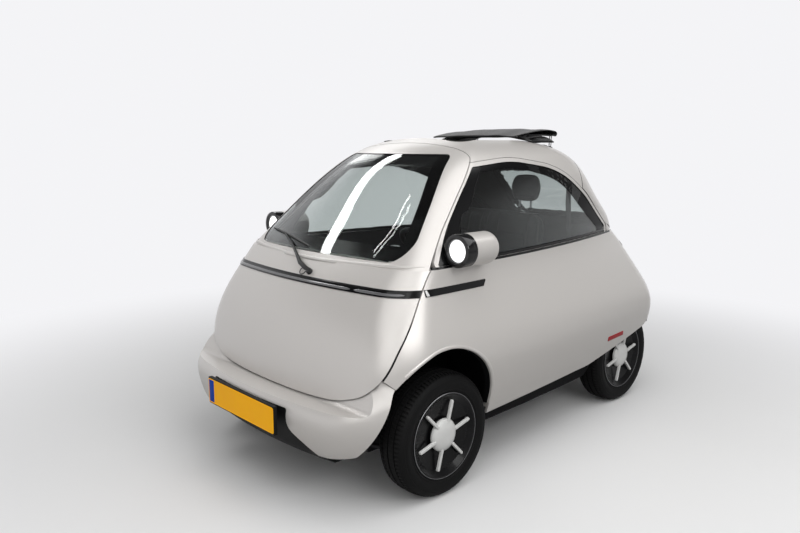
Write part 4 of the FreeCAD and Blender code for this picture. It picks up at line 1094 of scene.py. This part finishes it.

# ------------------------------------------------------------------ seat belts
# Black webbing 47 mm wide hangs from each upper anchor beside the backrest, with a steel tongue;
# the two buckles stand on short stalks in the middle of the cushion.
webbing = woven("belt_webbing", (0.010, 0.010, 0.011), (0.03, 0.03, 0.032), 0.0012, 0.6, roughness=0.6)
WEB = [(-0.0235, 0.0), (-0.0225, 0.0009), (0.0225, 0.0009), (0.0235, 0.0), (0.0225, -0.0009),
       (-0.0225, -0.0009)]
BELT_LINE = [(-0.458, 0.452, 1.232), (-0.446, 0.456, 1.205), (-0.436, 0.462, 1.15), (-0.428, 0.473, 1.05),
             (-0.424, 0.487, 0.93), (-0.424, 0.503, 0.80), (-0.428, 0.522, 0.66), (-0.436, 0.543, 0.52),
             (-0.444, 0.556, 0.42), (-0.446, 0.560, 0.34)]
for side, sign in (("left", 1), ("right", -1)):
    line = [Vector((x, sign * y, z)) for x, y, z in BELT_LINE]
    belt = swept(f"belt_{side}", line, WEB, webbing, "chassis", ups=[(0, sign, 0)] * len(line))
    anchor = swept(f"belt_anchor_{side}", [Vector((-0.462 + d, sign * 0.4535, 1.236 - 0.4 * d)) for d in
                                           (-0.020, -0.014, 0.0, 0.014, 0.020)],
                   [(a, b * 0.5) for a, b in ring_section(0.016, 14)], trim_plastic, "chassis",
                   ups=[(0, sign, 0)] * 5, sizes=(0.6, 0.95, 1.1, 0.95, 0.6))
    tongue = swept(f"belt_tongue_{side}", [Vector((-0.424, sign * y, z)) for y, z in
                                           ((0.497, 0.855), (0.4985, 0.842), (0.501, 0.82), (0.503, 0.80),
                                            (0.505, 0.788))],
                   [(a * 1.9, b * 0.42) for a, b in ring_section(0.0155, 14)], trim_plastic, "chassis",
                   ups=[(0, sign, 0)] * 5, sizes=(0.7, 1.0, 1.0, 0.9, 0.5))
    stalk = [Vector((-0.150, sign * 0.032, 0.515)), Vector((-0.150, sign * 0.036, 0.560)),
             Vector((-0.146, sign * 0.040, 0.585)), Vector((-0.143, sign * 0.043, 0.612)),
             Vector((-0.141, sign * 0.045, 0.632))]
    buckle = swept(f"belt_buckle_{side}", stalk, [(a * 1.0, b * 0.55) for a, b in ring_section(0.019, 14)],
                   trim_plastic, "chassis", ups=[(0, sign, 0)] * 5, sizes=(0.35, 0.35, 0.95, 1.0, 0.82))

# ------------------------------------------------------------------ steering wheel and controls
# A leather-bound rim with thumb rests, three spokes and a padded middle, square to its column.
# Two stalks reach out from the column, and a small screen stands behind it on the dash.
leather = grained("rim_leather", (0.014, 0.014, 0.0145), 0.46, 0.0018, 0.45, wear=0.3,
                  worn_colour=(0.05, 0.05, 0.05))
WHEEL_AXIS = Vector((-0.290, 0.0, 0.380)).normalized()
WHEEL_FOOT = Vector((FRONT_AXLE - 0.330, 0.260, 0.900)) + WHEEL_AXIS * 0.004
WHEEL_MIDDLE = WHEEL_FOOT + WHEEL_AXIS * 0.060
WHEEL_UP = Vector((0, 1, 0)).cross(WHEEL_AXIS)
WHEEL_UP = WHEEL_UP if WHEEL_UP.z > 0 else -WHEEL_UP
RIM_TURN = 0.1775


def on_wheel(across, up, out=0.0):
    """A point of the steering wheel from its middle."""
    return WHEEL_MIDDLE + Vector((0, 1, 0)) * across + WHEEL_UP * up + WHEEL_AXIS * out


rim_line, rim_ups, rim_sizes = [], [], []
for k in range(72):
    a = 2 * math.pi * k / 72
    rim_line.append(on_wheel(RIM_TURN * math.cos(a), RIM_TURN * math.sin(a)))
    rim_ups.append(WHEEL_AXIS)
    thumb = max(math.exp(-((math.degrees(a) - t) / 16) ** 2) for t in (38, 142))
    rim_sizes.append(0.94 + 0.09 * thumb)
rim = swept("steering_rim", rim_line, ring_section(0.0128, 14, 0.94), leather, "steering", ups=rim_ups,
            sizes=rim_sizes, closed=True)
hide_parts("steering_wheel")
for name, angle in (("left", 4), ("right", 176), ("lower", 270)):
    a = math.radians(angle)
    path = [on_wheel(r * math.cos(a), r * math.sin(a), out) for r, out in
            ((0.030, -0.014), (0.060, -0.012), (0.100, -0.007), (0.140, -0.003), (0.172, 0.0))]
    spoke = swept(f"steering_spoke_{name}", path,
                  [(a2 * 1.0, b2 * 0.34) for a2, b2 in ring_section(0.020, 14)],
                  trim_plastic, "steering", ups=[WHEEL_AXIS] * 5, sizes=(1.25, 1.05, 0.8, 0.72, 0.8))
pad_outline = smooth_outline([(-0.062, -0.048), (0.062, -0.048), (0.072, 0.012), (0.046, 0.046),
                              (-0.046, 0.046),
                              (-0.072, 0.012)], (0.030,) * 6, 7)
corners, faces = pad_corners(pad_outline, 0.030, 0.013, (on_wheel(0, 0, -0.012), Vector((0, 1, 0)), WHEEL_UP,
                                                        WHEEL_AXIS))
middle = add_piece("steering_pad", corners, faces, trim_plastic, "steering", math.radians(60))
sleeve = swept("steering_boss", [on_wheel(0, 0, out) for out in (-0.058, -0.050, -0.036, -0.020)],
               ring_section(0.038, 24), trim_plastic, "steering", ups=[WHEEL_UP] * 4,
               sizes=(1.0, 1.0, 0.95, 1.15))
for name, reach in (("left", 0.150), ("right", -0.150)):
    sign = 1 if reach > 0 else -1
    path = [WHEEL_FOOT + Vector((0.028, sign * y, z)) for y, z in
            ((0.020, -0.030), (0.060, -0.026), (0.100, -0.020), (abs(reach) - 0.012, -0.014),
             (abs(reach), -0.012))]
    stalk = swept(f"column_stalk_{name}", path, ring_section(0.0072, 12), trim_plastic, "chassis",
                  ups=[(1, 0, 0)] * 5, sizes=(0.9, 0.85, 1.0, 1.25, 0.8))
screen_low, screen_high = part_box("instrument")
screen_glass = grained("instrument_glass", (0.010, 0.014, 0.020), 0.06, 0.03, 0.0, wear=0.0, Coat_Weight=0.5)
outline = smooth_outline([(screen_low.y + 0.006, screen_low.z + 0.006),
                          (screen_high.y - 0.006, screen_low.z + 0.006),
                          (screen_high.y - 0.006, screen_high.z - 0.006),
                          (screen_low.y + 0.006, screen_high.z - 0.006)],
                         (0.008,) * 4, 6)
display = border_on("instrument_display", skin_of("instrument"),
                    [outline, outline, drawn_in(outline, 0.0008), drawn_in(outline, 0.002)], "-x",
                    (-0.001, 0.0004, 0.0009, 0.0009), screen_glass, "chassis", filled=True)

# ------------------------------------------------------------------ dash
# A moulded dash across the cabin behind the front door: a shelf with a soft lip, two round air
# vents at each end and a grab tube along its lower edge.
dash_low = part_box("dashboard")[0]
lip_line = [Vector((dash_low.x + 0.012, -0.56 + 1.12 * k / 28, 0.905)) for k in range(29)]
lip = swept("dash_lip", lip_line, ring_section(0.0085, 12), leather, "chassis", ups=[(0, 0, 1)] * 29,
            sizes=[0.5] + [1.0] * 27 + [0.5])
tube_line = [Vector((dash_low.x - 0.004, -0.555 + 1.11 * k / 28, 0.822 + 0.006 * math.sin(math.pi * k / 28)))
             for k in range(29)]
grab = swept("dash_tube", tube_line, ring_section(0.0125, 14), chassis_black, "chassis", ups=[(0, 0, 1)] * 29)
VENT = [(0.3, 3.0), (9, 3.0), (9.5, 0.0), (12, -1.0), (26, -1.0), (27, 2.5), (31, 3.0), (33, -2.0),
        (37, -4.0),
        (40, -3.0), (41, 4.0), (41, 8.0), (0.3, 8.0)]
for side, sign in (("left", 1), ("right", -1)):
    for name, y in (("outer", 0.490), ("inner", 0.392)):
        vent = add_piece(f"air_vent_{side}_{name}", turned_corners(VENT, 40), ring_faces(len(VENT), 40)
                         + [tuple(range(39, -1, -1)), tuple(range((len(VENT) - 1) * 40, len(VENT) * 40))],
                         trim_plastic)
        vent.location = (dash_low.x + 0.0045, sign * y, 0.864)
        vent.rotation_euler = (0, 0, math.pi / 2)
        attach(vent, "chassis")

# ------------------------------------------------------------------ folding roof
# One sheet of lined black acrylic fabric, folded back in four layers over the roof opening. The
# top layer lies smooth over its bows, and the folds show as rolled edges at the back.
roof_fabric = woven("roof_fabric", (0.012, 0.012, 0.0125), (0.032, 0.032, 0.034), 0.0011, 0.45,
                    roughness=0.72, Sheen_Weight=0.3)
fold_low, fold_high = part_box("folding_roof")
FOLD_PATH = [  # x from the front of the bundle, height above the roof at the middle, in metres
    (0.014, 0.009), (0.004, 0.0125), (0.010, 0.0165), (0.060, 0.026), (0.130, 0.0385), (0.200, 0.0475),
    (0.270, 0.0515), (0.320, 0.0500), (0.345, 0.0465), (0.3580, 0.0385), (0.3555, 0.0275), (0.343, 0.0235),
    (0.300, 0.0265), (0.200, 0.0275), (0.120, 0.0215), (0.085, 0.0180), (0.078, 0.0150), (0.085, 0.0125),
    (0.120, 0.0140), (0.200, 0.0200), (0.285, 0.0210), (0.318, 0.0200), (0.328, 0.0170), (0.318, 0.0138),
    (0.285, 0.0130), (0.200, 0.0110), (0.120, 0.0050)]
FABRIC = 0.0022
FOLD_COLUMNS = 41
fine_path = smooth_outline(FOLD_PATH, [0.0] + [0.02] * (len(FOLD_PATH) - 2) + [0.0], 3)
random.seed(7)
ripples = [(random.uniform(4, 11), random.uniform(0, 6.28), random.uniform(0.0004, 0.0010)) for k in range(5)]
corners = []
reach = fold_high.x - fold_low.x
for k, point in enumerate(fine_path):
    for j in range(FOLD_COLUMNS):
        share = -1 + 2 * j / (FOLD_COLUMNS - 1)
        half = 0.292 + 0.016 * math.sin(math.pi * min(1.0, point.x / reach))
        y = share * half
        sag = 0.0105 * abs(share) ** 2.6 * (0.4 + 0.6 * point.y / 0.05)
        wave = sum(size * math.sin(count * share * 2 + phase + 9 * point.x) for count, phase, size in ripples)
        under = min(max((k / len(fine_path) - 0.30) / 0.50, 0.0), 1.0)
        hang = 0.030 * abs(share) ** 5 * under * under * (3 - 2 * under)
        corners.append(Vector((fold_high.x - point.x, y, fold_high.z - 0.0545 + point.y - sag
                               + wave * (0.25 + abs(share)) - hang)))
sheet_faces = ring_faces(len(fine_path), FOLD_COLUMNS, closed_columns=False)
hood = add_piece("folded_roof_fabric", corners, sheet_faces, roof_fabric, None, math.radians(70))
thick = hood.modifiers.new("cloth_thickness", "SOLIDIFY")
thick.thickness = FABRIC
thick.offset = 0.0
thick.use_even_offset = False
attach(hood, "chassis")
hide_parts("folding_roof")

# The bows are black steel flats between the layers; a short linkage on each side lifts the pack.
for k, (x, z, half) in enumerate(((0.335, 0.0262, 0.285), (0.100, 0.0185, 0.280))):
    bow_line = [Vector((fold_high.x - x, -half + 2 * half * j / 20, fold_high.z - 0.0545 + z
                        - 0.006 * abs(-1 + 2 * j / 20) ** 2.6)) for j in range(21)]
    bow = swept(f"roof_bow_{k + 1}", bow_line, [(a, b * 0.3) for a, b in ring_section(0.009, 10)],
                chassis_black,
                "chassis")
roof_tree = skin_of("roof_panel")


def on_roof(x, y, up):
    """A point above the roof skin."""
    hit = roof_tree.ray_cast(Vector((x, y, 3.0)), Vector((0, 0, -1)))[0]
    return Vector((x, y, (hit.z if hit else 1.46) + up))


for side, sign in (("left", 1), ("right", -1)):
    foot = on_roof(-0.548, sign * 0.262, 0.004)
    link = [foot, foot + Vector((-0.006, 0, 0.010)),
            Vector((fold_low.x + 0.012, sign * 0.262, fold_high.z - 0.036))]
    for name, shift in (("fore", 0.016), ("aft", 0.0)):
        bar = swept(f"roof_link_{side}_{name}", [p + Vector((shift, 0, 0)) for p in link],
                    [(a, b * 0.5) for a, b in ring_section(0.0042, 8)], post_steel, "chassis",
                    ups=[(0, 1, 0)] * 3)
    shoe = swept(f"roof_shoe_{side}",
                 [on_roof(x, sign * 0.262, 0.003) for x in (-0.535, -0.540, -0.556, -0.561)],
                 [(a, b * 0.45) for a, b in ring_section(0.010, 12)], trim_plastic, "chassis",
                 sizes=(0.6, 1, 1, 0.6))
# A rubber seal lines the opening in the roof skin.
seal_line = []
for p in smooth_outline([(0.1925, 0.283), (0.1925, -0.283), (-0.5275, -0.283), (-0.5275, 0.283)],
                        (0.06,) * 4, 8):
    near = roof_tree.find_nearest(Vector((p.x, p.y, 1.475)))[0]
    seal_line.append(Vector((p.x, p.y, near.z - 0.002)))
roof_seal = swept("roof_opening_seal", seal_line, ring_section(0.0052, 8), rubber, "chassis",
                  closed=True)

# ------------------------------------------------------------------ tail lamps
# The bar across the hatch: a dark red lens over a ribbed reflector, with a brighter light tube
# along it and a clear reversing lamp in the middle.
tail_red = grained("tail_red", (0.12, 0.004, 0.006), 0.10, 0.006, 0.25, wear=0.0, Coat_Weight=0.8,
                   Coat_Roughness=0.03)
tube_red = grained("tube_red", (0.42, 0.010, 0.012), 0.16, 0.004, 0.2, wear=0.0, Coat_Weight=0.8,
                   Coat_Roughness=0.04)
coat_node(tail_red, "tail_light_bar")
tail_tree = skin_of("tail_light_bar")
for name, first, last, finish in (("left", 4.5, 26.0, tube_red), ("right", -4.5, -26.0, tube_red),
                                  ("reversing", -4.0, 4.0, lamp_white)):
    points, normals = bar_line(tail_tree, first, last, 0.8605, -0.45, -1, 16)
    ends = [min(1.0, 0.3 + 0.35 * min(k, len(points) - 1 - k)) for k in range(len(points))]
    tube = swept(f"tail_tube_{name}", points, half_round(0.0125, 0.0032), finish, "rear_hatch", ups=normals,
                 sizes=ends)

# ------------------------------------------------------------------ hidden stand-ins
# CAD solids that modelled pieces stand for keep a finish of their own kind.
coat_node(seat_cloth, "seat_cushion", "seat_back", "head_restraints")
coat_node(roof_fabric, "folding_roof")
coat_node(trim_plastic, "steering_wheel", "wiper", *[f"wheel_trim_{n}" for n in WHEEL_PLACES])
coat_node(rubber, *[f"tyre_{n}" for n in WHEEL_PLACES])
coat_node(plate_yellow, "number_plate")
coat_node(lens_lit, "headlamps")
coat_node(mirror_silver, "mirror_glasses")

# ------------------------------------------------------------------ floor and light
# A pale floor and backdrop; the floor returns light to the car as a mid grey, and mirrored rays see
# less of both on the near side. One broad soft light hangs over the car, weaker ones stand round
# it, and two strip lamps hang from the ceiling to its right.
BACKDROP = (0.905, 0.905, 0.925)


def sight_lines(tree, mirrored_share=None):
    """One for rays that see the backdrop: the camera's, mirrored ones, and those through glass alone."""
    rays = tree.nodes.new("ShaderNodeLightPath")
    steps = []
    for operation, first, second in (("LESS_THAN", "Diffuse Depth", 0.5), ("MAXIMUM", "Is Transmission Ray",
                                     "Is Glossy Ray"), ("MULTIPLY", 1, 0), ("MAXIMUM", 2, "Is Camera Ray")):
        step = finish_step(tree, "Math", operation=operation)
        for socket, value in zip(step.inputs, (first, second)):
            if isinstance(value, str):
                tree.links.new(rays.outputs[value], socket)
            elif isinstance(value, int):
                tree.links.new(steps[value].outputs[0], socket)
            else:
                socket.default_value = value
        steps.append(step)
    if mirrored_share:
        share = finish_step(tree, "Math", {0: rays.outputs["Is Glossy Ray"], 1: mirrored_share},
                            operation="MULTIPLY")
        tree.links.new(share.outputs[0], steps[1].inputs[1])
    return steps[-1]


floor_finish = new_finish("pale_floor", (0.80, 0.80, 0.80), 0.85)
tree = floor_finish.node_tree
shader = tree.nodes["Principled BSDF"]
place = tree.nodes.new("ShaderNodeTexCoord")
across = finish_step(tree, "SeparateXYZ", {0: place.outputs["Object"]})
near_side = finish_step(tree, "MapRange", {"From Min": 0.2, "From Max": 1.0, "To Min": 1.0, "To Max": 0.3,
                                           "Value": across.outputs["Y"]})
mirrored = sight_lines(tree, near_side.outputs[0])
speckle = finish_step(tree, "TexNoise", {"Scale": 60.0})
shade = finish_step(tree, "MapRange", {"To Min": 0.74, "To Max": 0.78, "Value": speckle.outputs["Fac"]})
carpet = finish_step(tree, "Mix", {"A": (0.26, 0.26, 0.26, 1.0), "Factor": mirrored.outputs[0],
                                   "B": shade.outputs[0]}, data_type="RGBA")
tree.links.new(carpet.outputs["Result"], shader.inputs["Base Color"])
reach = finish_step(tree, "VectorMath", {0: place.outputs["Object"]}, operation="LENGTH")
far_away = finish_step(tree, "MapRange", {"From Min": 1.3, "From Max": 4.2, "Value": reach.outputs["Value"]},
                       interpolation_type="SMOOTHSTEP")
blend = finish_step(tree, "Math", {0: far_away.outputs[0], 1: mirrored.outputs[0]}, operation="MULTIPLY")
backdrop = finish_step(tree, "Emission", {"Color": (*BACKDROP, 1.0)})
cove = finish_step(tree, "MixShader", {0: blend.outputs[0], 1: shader.outputs[0], 2: backdrop.outputs[0]})
tree.links.new(cove.outputs[0], tree.nodes["Material Output"].inputs["Surface"])
FLOOR_REACH = 40.0
floor = add_piece("studio_floor", [(-FLOOR_REACH, -FLOOR_REACH, 0), (FLOOR_REACH, -FLOOR_REACH, 0),
                                   (FLOOR_REACH, FLOOR_REACH, 0), (-FLOOR_REACH, FLOOR_REACH, 0)],
                  [(0, 1, 2, 3)], floor_finish)

LIGHTS = (  # name, place, aimed at, turn about its own axis in degrees, size across and along, watts
    ("over_light", (-0.7, 2.5, 4.4), (-0.75, 2.4, 0.8), 0, (5.6, 4.2), 140.0),
    ("corner_light", (3.5, 1.2, 4.3), (0.9, 0.2, 0.5), 0, (3.8, 3.2), 46.0),
    ("front_light", (4.3, 2.3, 2.3), (0.6, 0.2, 0.7), 0, (2.8, 2.2), 30.0),
    ("side_light", (1.2, 4.3, 2.9), (0.4, 0.5, 0.7), 0, (3.6, 1.4), 66.0),
    ("far_light", (-2.8, -4.6, 4.3), (-0.2, 0.0, 0.7), 0, (3.0, 1.4), 22.0),
    ("strip_wide", (0.8, -4.05, 4.6), (0.8, -4.05, 0.0), -18, (4.2, 0.50), 70.0),
    ("strip_thin", (1.56, -2.22, 4.6), (1.56, -2.22, 0.0), -34, (1.25, 0.035), 1.6))
for name, spot, aim, turn, (wide, deep), watts in LIGHTS:
    lamp = bpy.data.lights.new(name, "AREA")
    lamp.shape = "RECTANGLE"
    lamp.size, lamp.size_y = wide, deep
    lamp.energy = watts
    holder = bpy.data.objects.new(name, lamp)
    holder.location = spot
    way = Vector(aim) - Vector(spot)
    if way.x == way.y == 0.0:
        holder.rotation_euler = (0, 0, math.radians(turn))
    else:
        holder.rotation_euler = way.to_track_quat("-Z", "Y").to_euler()
    holder.visible_camera = False
    bpy.context.scene.collection.objects.link(holder)

world = bpy.data.worlds.new("studio_room")
world.use_nodes = True
bpy.context.scene.world = world
tree = world.node_tree
room = tree.nodes["Background"]
room.inputs["Strength"].default_value = 1.0
heading = tree.nodes.new("ShaderNodeTexCoord")
parts = finish_step(tree, "SeparateXYZ", {0: heading.outputs["Generated"]})
ceiling = finish_step(tree, "MapRange", {"From Min": 0.18, "From Max": 0.62, "To Min": 0.40, "To Max": 0.16,
                                         "Value": parts.outputs["Z"]}, interpolation_type="SMOOTHSTEP")
tree.links.new(ceiling.outputs[0], room.inputs["Color"])
wall = finish_step(tree, "Background", {"Color": (*BACKDROP, 1.0)})
above = finish_step(tree, "MapRange", {"From Min": 0.20, "From Max": 0.42, "To Min": 1.0, "To Max": 0.10},
                    interpolation_type="SMOOTHSTEP")
far_half = finish_step(tree, "Math", {1: 0.0, 0: parts.outputs["Y"]}, operation="MINIMUM")
height = finish_step(tree, "Math", {1: 0.22, 0: far_half.outputs[0], 2: parts.outputs["Z"]},
                     operation="MULTIPLY_ADD")
tree.links.new(height.outputs[0], above.inputs["Value"])
rays = tree.nodes.new("ShaderNodeLightPath")
straight = finish_step(tree, "Math", {0: rays.outputs["Is Camera Ray"], 1: above.outputs[0]},
                       operation="MAXIMUM")
tree.links.new(straight.outputs[0], wall.inputs["Strength"])
near_side = finish_step(tree, "MapRange", {"From Min": -0.15, "From Max": 0.25, "To Min": 1.0, "To Max": 0.12,
                                           "Value": parts.outputs["Y"]})
seen = sight_lines(tree, near_side.outputs[0])
choice = finish_step(tree, "MixShader", {0: seen.outputs[0], 1: room.outputs[0], 2: wall.outputs[0]})
tree.links.new(choice.outputs[0], tree.nodes["World Output"].inputs["Surface"])
bpy.context.scene.view_settings.view_transform = "Standard"

# Every placement is brought up to date.
bpy.context.view_layer.update()
